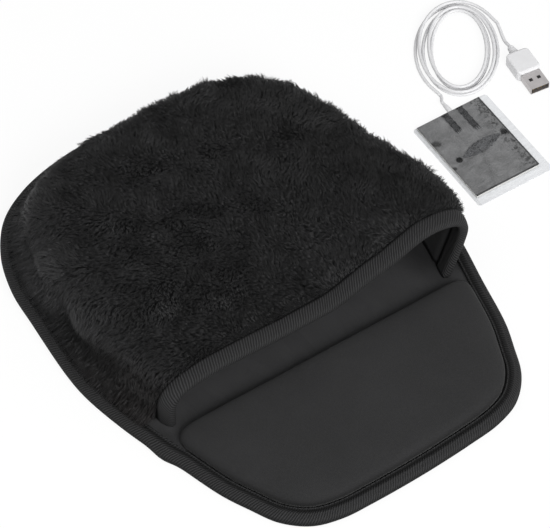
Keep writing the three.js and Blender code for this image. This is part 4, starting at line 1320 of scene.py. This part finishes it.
class POUCH_OT_plug(PouchOperator):
    """Finishes the plug: moulded grip, ribbed relief, plated shell, tongue and contacts"""

    bl_idname = "pouch.plug"
    bl_label = "Plug"

    def execute(self, context):
        finish_nodes(vinyl_finish("white_vinyl_plug", 1.0), "plug_strain_relief", "plug_grip")
        finish_nodes(steel_finish(), "plug_shell")
        finish_nodes(tongue_finish(), "plug_tongue")
        finish_nodes(gold_finish(), *CONTACTS)
        return {"FINISHED"}


class POUCH_OT_lead(PouchOperator):
    """Lays the cord in its coil, from the heating pad to the plug"""

    bl_idname = "pouch.lead"
    bl_label = "Coiled Lead"

    def execute(self, context):
        route = cord_route()
        data = bpy.data.curves.new("lead", "CURVE")
        data.dimensions = "3D"
        data.bevel_depth = CORD_DIAMETER / 2 * MM
        data.bevel_resolution = 3
        data.use_fill_caps = True
        spline = data.splines.new("POLY")
        spline.points.add(len(route) - 1)
        for point, spot in zip(spline.points, route * MM):
            point.co = (*spot, 1.0)
        # The cord's vinyl is a shade darker than the plug's: painted shade
        lead = add_piece(
            "lead", data, vinyl_finish("white_vinyl_cord", 0.96), "heater_set", "white_pvc",
            "cord_at_pad", "cord_coil", "cord_at_plug")
        return {"FINISHED"}


class POUCH_OT_base(PouchOperator):
    """Makes the base: anti-slip sheet, foam, fleece floor, and the tape with its stitches"""

    bl_idname = "pouch.base"
    bl_label = "Padded Base"

    def execute(self, context):
        finish_nodes(rubber_finish(), "antislip_sheet")
        finish_nodes(foam_finish(), "base_foam", "wrist_cushion_foam")
        self.floor_sheet()
        self.edge_tape()
        self.stitches()
        return {"FINISHED"}

    def floor_sheet(self):
        inset = BINDING_THICKNESS + CLEARANCE

        def skin(level):
            def place(around, out):
                spots = base_ring(inset, around) * out[:, None]
                waves = FLOOR_WAVES * ripples(spots, 25, 11) * (1 - out ** 8)
                return np.column_stack([spots, level + waves])
            return place

        top = FLOOR_LEVEL + FLOOR_THICKNESS
        bm = slab(180, 24, skin(top - FLOOR_WAVES), skin(FLOOR_LEVEL + FLOOR_WAVES))
        sheet = add_bmesh(
            "fleece_floor", bm, fleece_finish("floor_fleece", 1.0, FLOOR_SHADOWS), "pouch",
            "floor_fleece", "floor_lining")

    def edge_tape(self):
        """The tape folded round the base's edge, plump where it wraps the foam."""
        section = folded_section(
            BINDING_WIDTH, BINDING_LIFT, BINDING_TOP, BINDING_THICKNESS, EDGE_SWELL, EDGE_NOSE)

        def place(around, inset, level):
            spots = base_ring(inset, around)
            bulge = bell(np.linalg.norm(spots - FOLD_PLACE, axis=1) / FOLD_REACH)
            spots = spots + FOLD_WAY * bulge[:, None]
            upper = level > BINDING_TOP - TAPE_FACE
            level = level + FOLD_LIFT * bulge * upper
            level = level + TAPE_WAVES * ripples(spots, 16, 5) * upper
            return np.column_stack([spots, level])

        bm = tape(EDGE_COLUMNS, section, BASE_AROUND, place)
        add_bmesh(
            "edge_tape", closed(bm), tape_finish("ribbed_tape", 0.97, 0.85), "pouch", "tape",
            "base_binding")

    def stitches(self):
        """One lock stitch after another along the tape's inner edge."""
        pitch = settings().stitch_pitch / MM
        count = int(BASE_AROUND / pitch)
        shares = (np.arange(count) + 0.5) / count
        spots = base_ring(BINDING_WIDTH - STITCH_INSET, shares)
        ahead = base_ring(BINDING_WIDTH - STITCH_INSET, shares + 0.2 / count) - spots
        sizes = [value * MM for value in (pitch * STITCH_LENGTH_SHARE, *STITCH_THICKNESS)]
        shape = Matrix.Diagonal((*sizes, 1)) @ Matrix.Rotation(QUARTER, 4, "Y")
        bm = bmesh.new()
        for spot, way in zip(spots, ahead):
            place = Matrix.Translation(Vector((*spot, BINDING_TOP + STITCH_LIFT)) * MM)
            turn = Matrix.Rotation(math.atan2(way[1], way[0]), 4, "Z")
            bmesh.ops.create_uvsphere(
                bm, u_segments=6, v_segments=4, radius=1, matrix=place @ turn @ shape)
        add_bmesh("tape_stitches", bm, thread_finish(), "pouch", "tape")


class POUCH_OT_cushion(PouchOperator):
    """Makes the wrist cushion's jersey cover"""

    bl_idname = "pouch.cushion"
    bl_label = "Wrist Cushion"

    def execute(self, context):
        line = cushion_line()
        middle = line.mean(0)

        def place(around, up):
            """The underside from its middle out, then the dome over to its crown."""
            index = np.rint(around * len(line)).astype(int) % len(line)
            angle = np.clip((up - CUSHION_UNDER) / (1 - CUSHION_UNDER), 0, 1) * QUARTER
            dome = np.clip(np.cos(angle), 0, 1) ** (2 / CUSHION_POWER)
            size = np.where(up < CUSHION_UNDER, up / CUSHION_UNDER, dome)
            level = CUSHION_HEIGHT * np.sin(angle) ** (2 / CUSHION_POWER)
            spots = middle + (line - middle)[index] * size[:, None]
            crown = 0.22 * ripples(spots, 48, 8) * np.clip(level / CUSHION_HEIGHT, 0, 1)
            return np.column_stack([spots, SEAT_LEVEL + level + crown])

        bm = closed(grid(len(line), CUSHION_ROWS, place))
        cushion = add_bmesh(
            "wrist_cushion", bm, jersey_finish(), "pouch", "jersey", "wrist_cushion_cover")
        return {"FINISHED"}


class POUCH_OT_cover(PouchOperator):
    """Makes the cover's layers, from the pile's ground to the lining, and the tape of its mouth"""

    bl_idname = "pouch.cover"
    bl_label = "Plush Cover"

    def execute(self, context):
        ground = backing_finish()
        for name, node, region, columns, rows in (
                ("plush_top_ground", "plush_top_panel", on_top, 150, 110),
                ("plush_side_ground", "plush_side_band", on_side, 300, 26)):
            bm = slab(columns, rows, on_cover(region, ground_depth), on_cover(region, CLEARANCE))
            panel = add_bmesh(name, bm, ground, "pouch", "plush", node)
        self.layers()
        self.mouth_tape()
        return {"FINISHED"}

    def layers(self):
        """Wadding, lining and the pocket under the roof."""
        edge = turn_of_wide(POCKET_ACROSS)

        def wadding(across, along):
            return arch_turn(across), lerp(WADDING_START, 1, along) * COVER_LENGTH

        def lining(across, along):
            return arch_turn(across), along * COVER_LENGTH

        def pocket(across, along):
            return (across * 2 - 1) * edge, lerp(*POCKET_ALONG, along) * COVER_LENGTH

        white = fluff_finish("white_wadding", 2.2, 2.0, 1.0, (0.6, 0.6, 0.58), (0.84, 0.84, 0.82))
        bm = slab(160, 70, on_cover(wadding, 0.0), on_cover(wadding, lining_depth(0.0)))
        add_bmesh("cover_wadding", bm, white, "pouch", "wadding", "cover_wadding")
        depths = [lining_depth(CLEARANCE + extra) for extra in (0, LINING)]
        bm = slab(160, 70, *[on_cover(lining, depth) for depth in depths])
        # The lining's fleece is a darker copy of the floor's: painted shade inside the cover, with more
        # painted shade at the right end of the mouth
        add_bmesh(
            "fleece_lining", bm, fleece_finish("lining_fleece", 0.9, LINING_SHADOWS), "pouch",
            "lining_fleece", "cover_lining")
        top = 2 * CLEARANCE + LINING + POCKET_DROP
        depths = [lining_depth(top + extra, 0.4) for extra in (0, LINING)]
        bm = slab(40, 50, *[on_cover(pocket, depth) for depth in depths])
        add_bmesh(
            "fleece_pocket", bm, fleece_finish("pocket_fleece", 0.85), "pouch", "lining_fleece",
            "heater_pocket")

    def mouth_tape(self):
        """The tape folded over the mouth's edge, from foot to foot."""
        outer = CLEARANCE + BACKING + CLEARANCE + BINDING_THICKNESS
        inner = -WADDING_PRESSED - LINING - 2 * CLEARANCE - BINDING_THICKNESS
        section = folded_section(
            BINDING_WIDTH + MOUTH_OVERHANG, inner, outer, BINDING_THICKNESS, MOUTH_SWELL, MOUTH_NOSE)
        section[:, 0] -= MOUTH_OVERHANG
        fine = arch_turn(np.linspace(0, 1, 1201))
        steps = lengths_along(cover_point(fine, 0))

        def place(along, behind, depth):
            turn = np.interp(along * steps[-1], steps, fine)
            points = cover_point(turn, behind)
            depth = depth + 0.15 * ripples(points, 14, 17) * (depth > 1)
            return points + cover_normal(turn, behind) * depth[:, None]

        bm = tape(MOUTH_COLUMNS, section, steps[-1], place)
        bmesh.ops.remove_doubles(bm, verts=bm.verts[:], dist=MERGE_GAP)
        bmesh.ops.holes_fill(bm, edges=bm.edges[:], sides=0)
        add_bmesh(
            "mouth_tape", closed(bm), tape_finish("ribbed_mouth_tape", 0.0, 0.0), "pouch", "tape",
            "mouth_binding")


class POUCH_OT_pile(PouchOperator):
    """Grows the plush pile on the top panel and the side band"""

    bl_idname = "pouch.pile"
    bl_label = "Plush Pile"

    def execute(self, context):
        finish = pile_finish()
        rng = np.random.default_rng(settings().pile_seed)
        top_area = strand_seeds(on_top, 120, 120, 10, rng)[2]
        side_area = strand_seeds(on_side, 240, 30, 10, rng)[2]
        top_share = top_area / (top_area + side_area)
        for name, region, share, long_parts, short_parts in (
                ("plush_top", on_top, top_share,
                 ("left", "middle_left", "middle_right", "right"), ("left", "right")),
                ("plush_side", on_side, 1 - top_share, ("left", "middle", "right"), ("all",))):
            for kind, total, parts, bent in (
                    ("pile", settings().pile_strands, long_parts, True),
                    ("down", settings().down_strands, short_parts, False)):
                count = int(total * share / (1))
                self.plant(f"{name}_{kind}", region, count, parts, bent, finish, rng)
        return {"FINISHED"}

    def plant(self, name, region, count, parts, bent, finish, rng):
        """Grows strands on one region and deals them out to a few pieces from left to right."""
        turn, behind, _ = strand_seeds(region, 300, 150, count, rng)
        root, middle, tip, lay_and_painted_light = grow(turn, behind, rng)
        if not bent:
            tip = lerp(root, tip, 0.72)
        ranks = np.argsort(np.argsort(root[:, 0]))
        piece_of = ranks * len(parts) // len(ranks)
        for number, part in enumerate(parts):
            chosen = piece_of == number
            stations = [station[chosen] for station in (root, middle, tip, lay_and_painted_light)]
            mesh = strand_mesh(f"{name}_{part}", stations, rng, bent)
            add_mesh(f"{name}_{part}", mesh, finish, "pouch", "plush")


class POUCH_OT_pad(PouchOperator):
    """Makes the heating pad: sleeve, felt, film, foils, patch, rivets, gland and wires"""

    bl_idname = "pouch.pad"
    bl_label = "Heating Pad"

    def execute(self, context):
        self.felt()
        finish_nodes(film_finish(), "heating_film")
        self.foils(foil_finish("tinned_foil", 0.4))
        self.patch(foil_finish("netted_foil", 1.0))
        finish_nodes(rivet_finish(), "terminal_rivet_1", "terminal_rivet_2")
        vinyl = vinyl_finish("white_vinyl_gland", 0.97)
        finish_nodes(vinyl, "lead_wire_1", "lead_wire_2", "cord_gland")
        finish_nodes(sheet_finish(), "sleeve_back")
        self.sleeve()
        return {"FINISHED"}

    def felt(self):
        """The CAD felt with its points merged, its flats joined and its edges rounded."""
        bm = bmesh.new()
        bm.from_mesh(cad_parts["felt_backing"].data)
        bmesh.ops.remove_doubles(bm, verts=bm.verts[:], dist=0.002 * MM)
        bmesh.ops.dissolve_limit(
            bm, angle_limit=math.radians(1), verts=bm.verts[:], edges=bm.edges[:],
            delimit={"NORMAL"})
        sharp = [
            edge for edge in bm.edges
            if edge.is_manifold and edge.calc_face_angle() > math.radians(30)]
        bmesh.ops.bevel(
            bm, geom=sharp, offset=FELT_EDGE * MM, segments=2, profile=0.5, affect="EDGES",
            material=-1, clamp_overlap=True)
        bmesh.ops.triangulate(bm, faces=[face for face in bm.faces if len(face.verts) > 4])
        white = fluff_finish("white_felt", 0.8, 3.0, 0.4, (0.5, 0.5, 0.49), (0.68, 0.68, 0.67))
        felt = add_bmesh("felt_core", bm, white, "heater_set", "white_felt", "felt_backing")
        felt.modifiers.new("even_normals", "WEIGHTED_NORMAL")

    def foils(self, finish):
        """Two crinkled strips with torn lower ends."""
        top = FILM_PLACE[1] + FILM_LENGTH / 2 - CLEARANCE

        def strip(number, length, middle):
            def place(across, along):
                ragged = 0.09 * np.sin(across * 17 + number * 2) + 0.07 * np.sin(across * 31 + number)
                torn = 0.10 * np.sin(along * 23 + number) + 0.08 * np.sin(along * 51 + number * 3)
                x = middle + (across - 0.5) * FOIL_WIDTH * (1 - 0.12 * along) * (1 + torn)
                return x, top - along * length * (1 + ragged)
            return place

        shares = zip(FOIL_LENGTH_SHARES, FOIL_PLACE_SHARES)
        for number, (length, middle) in enumerate(shares, 1):
            place = strip(number, length * FILM_LENGTH, FILM_PLACE[0] + middle * FILM_WIDTH)
            bm = foil(14, 44, place, 0.06, 2.2, 40 + number)
            add_bmesh(
                f"tinned_foil_{number}", bm, finish, "heater_set", "dark_foil",
                f"lead_foil_{number}")

    def patch(self, finish):
        """The lens-shaped patch between the rivets, with a slightly torn edge."""
        left, right = RIVET_PLACES
        half = np.linalg.norm(right - left) / 2 - RIVET_RADIUS - PATCH_GAP
        way = unit(right - left)
        middle = FILM_PLACE + (left + right) / 2

        def place(along, across):
            along = along * 2 - 1
            torn = 1 + 0.07 * np.sin(along * 23) + 0.05 * np.sin(along * 41 + 1)
            wide = PATCH_WIDTH / 2 * (1 - along ** 2) * torn + PATCH_TIP
            side = (across * 2 - 1) * wide
            x = middle[0] + along * half * way[0] - side * way[1]
            return x, middle[1] + along * half * way[1] + side * way[0]

        bm = foil(60, 16, place, 0.05, 2.6, 51)
        add_bmesh("netted_patch", bm, finish, "heater_set", "dark_foil", "bonding_patch")

    def sleeve(self):
        """The clear front sheet: welded flat round its edge and drawn over what it holds."""
        half_width, half_length = SLEEVE_WIDTH / 2, SLEEVE_LENGTH / 2

        def skin(offset):
            def carry(across, along):
                x, y = (across * 2 - 1) * half_width, (along * 2 - 1) * half_length
                inner = np.minimum(half_width - np.abs(x), half_length - np.abs(y))
                rise = eased((inner - SLEEVE_RISE[0]) / SLEEVE_RISE[1])
                spots = np.column_stack([x, y])
                waves = 0.16 * ripples(spots, 13, 60) + 0.1 * ripples(spots * (0.4, 1.6), 9, 61)
                drawn = rise * (FRONT_LEVEL - SLEEVE_SHEET + 0.1 + waves)
                return pad_points(x, y, SLEEVE_SHEET + CLEARANCE + drawn + offset)
            return carry

        bm = slab(70, 90, skin(SLEEVE_FRONT), skin(0.0))
        add_bmesh(
            "clear_sleeve_front", bm, clear_finish(), "heater_set", "clear_sleeve", "sleeve_front")


class POUCH_PT_panel(bpy.types.Panel):
    """Sizes and steps of the heated pouch."""

    bl_idname = "POUCH_PT_panel"
    bl_label = "Heated Pouch"
    bl_space_type = "VIEW_3D"
    bl_region_type = "UI"
    bl_category = "Pouch"

    def draw(self, context):
        layout = self.layout
        for group in (settings(), pad_settings()):
            for name in group.__annotations__:
                layout.prop(group, name)
        for operator in OPERATORS:
            layout.operator(operator.bl_idname)


OPERATORS = (
    POUCH_OT_stage, POUCH_OT_plug, POUCH_OT_lead, POUCH_OT_base, POUCH_OT_cushion, POUCH_OT_cover,
    POUCH_OT_pile, POUCH_OT_pad,
)
CLASSES = (PouchSettings, PadSettings, *OPERATORS, POUCH_PT_panel)


def register():
    for item in CLASSES:
        bpy.utils.register_class(item)
    bpy.types.Scene.hand_pouch = PointerProperty(type=PouchSettings)
    bpy.types.Scene.hand_pouch_pad = PointerProperty(type=PadSettings)


def unregister():
    del bpy.types.Scene.hand_pouch_pad
    del bpy.types.Scene.hand_pouch
    for item in reversed(CLASSES):
        bpy.utils.unregister_class(item)


def main():
    register()
    bpy.ops.pouch.stage()
    bpy.ops.pouch.plug()
    bpy.ops.pouch.lead()
    bpy.ops.pouch.base()
    bpy.ops.pouch.cushion()
    bpy.ops.pouch.cover()
    bpy.ops.pouch.pile()
    bpy.ops.pouch.pad()


if __name__ == "__main__":
    main()
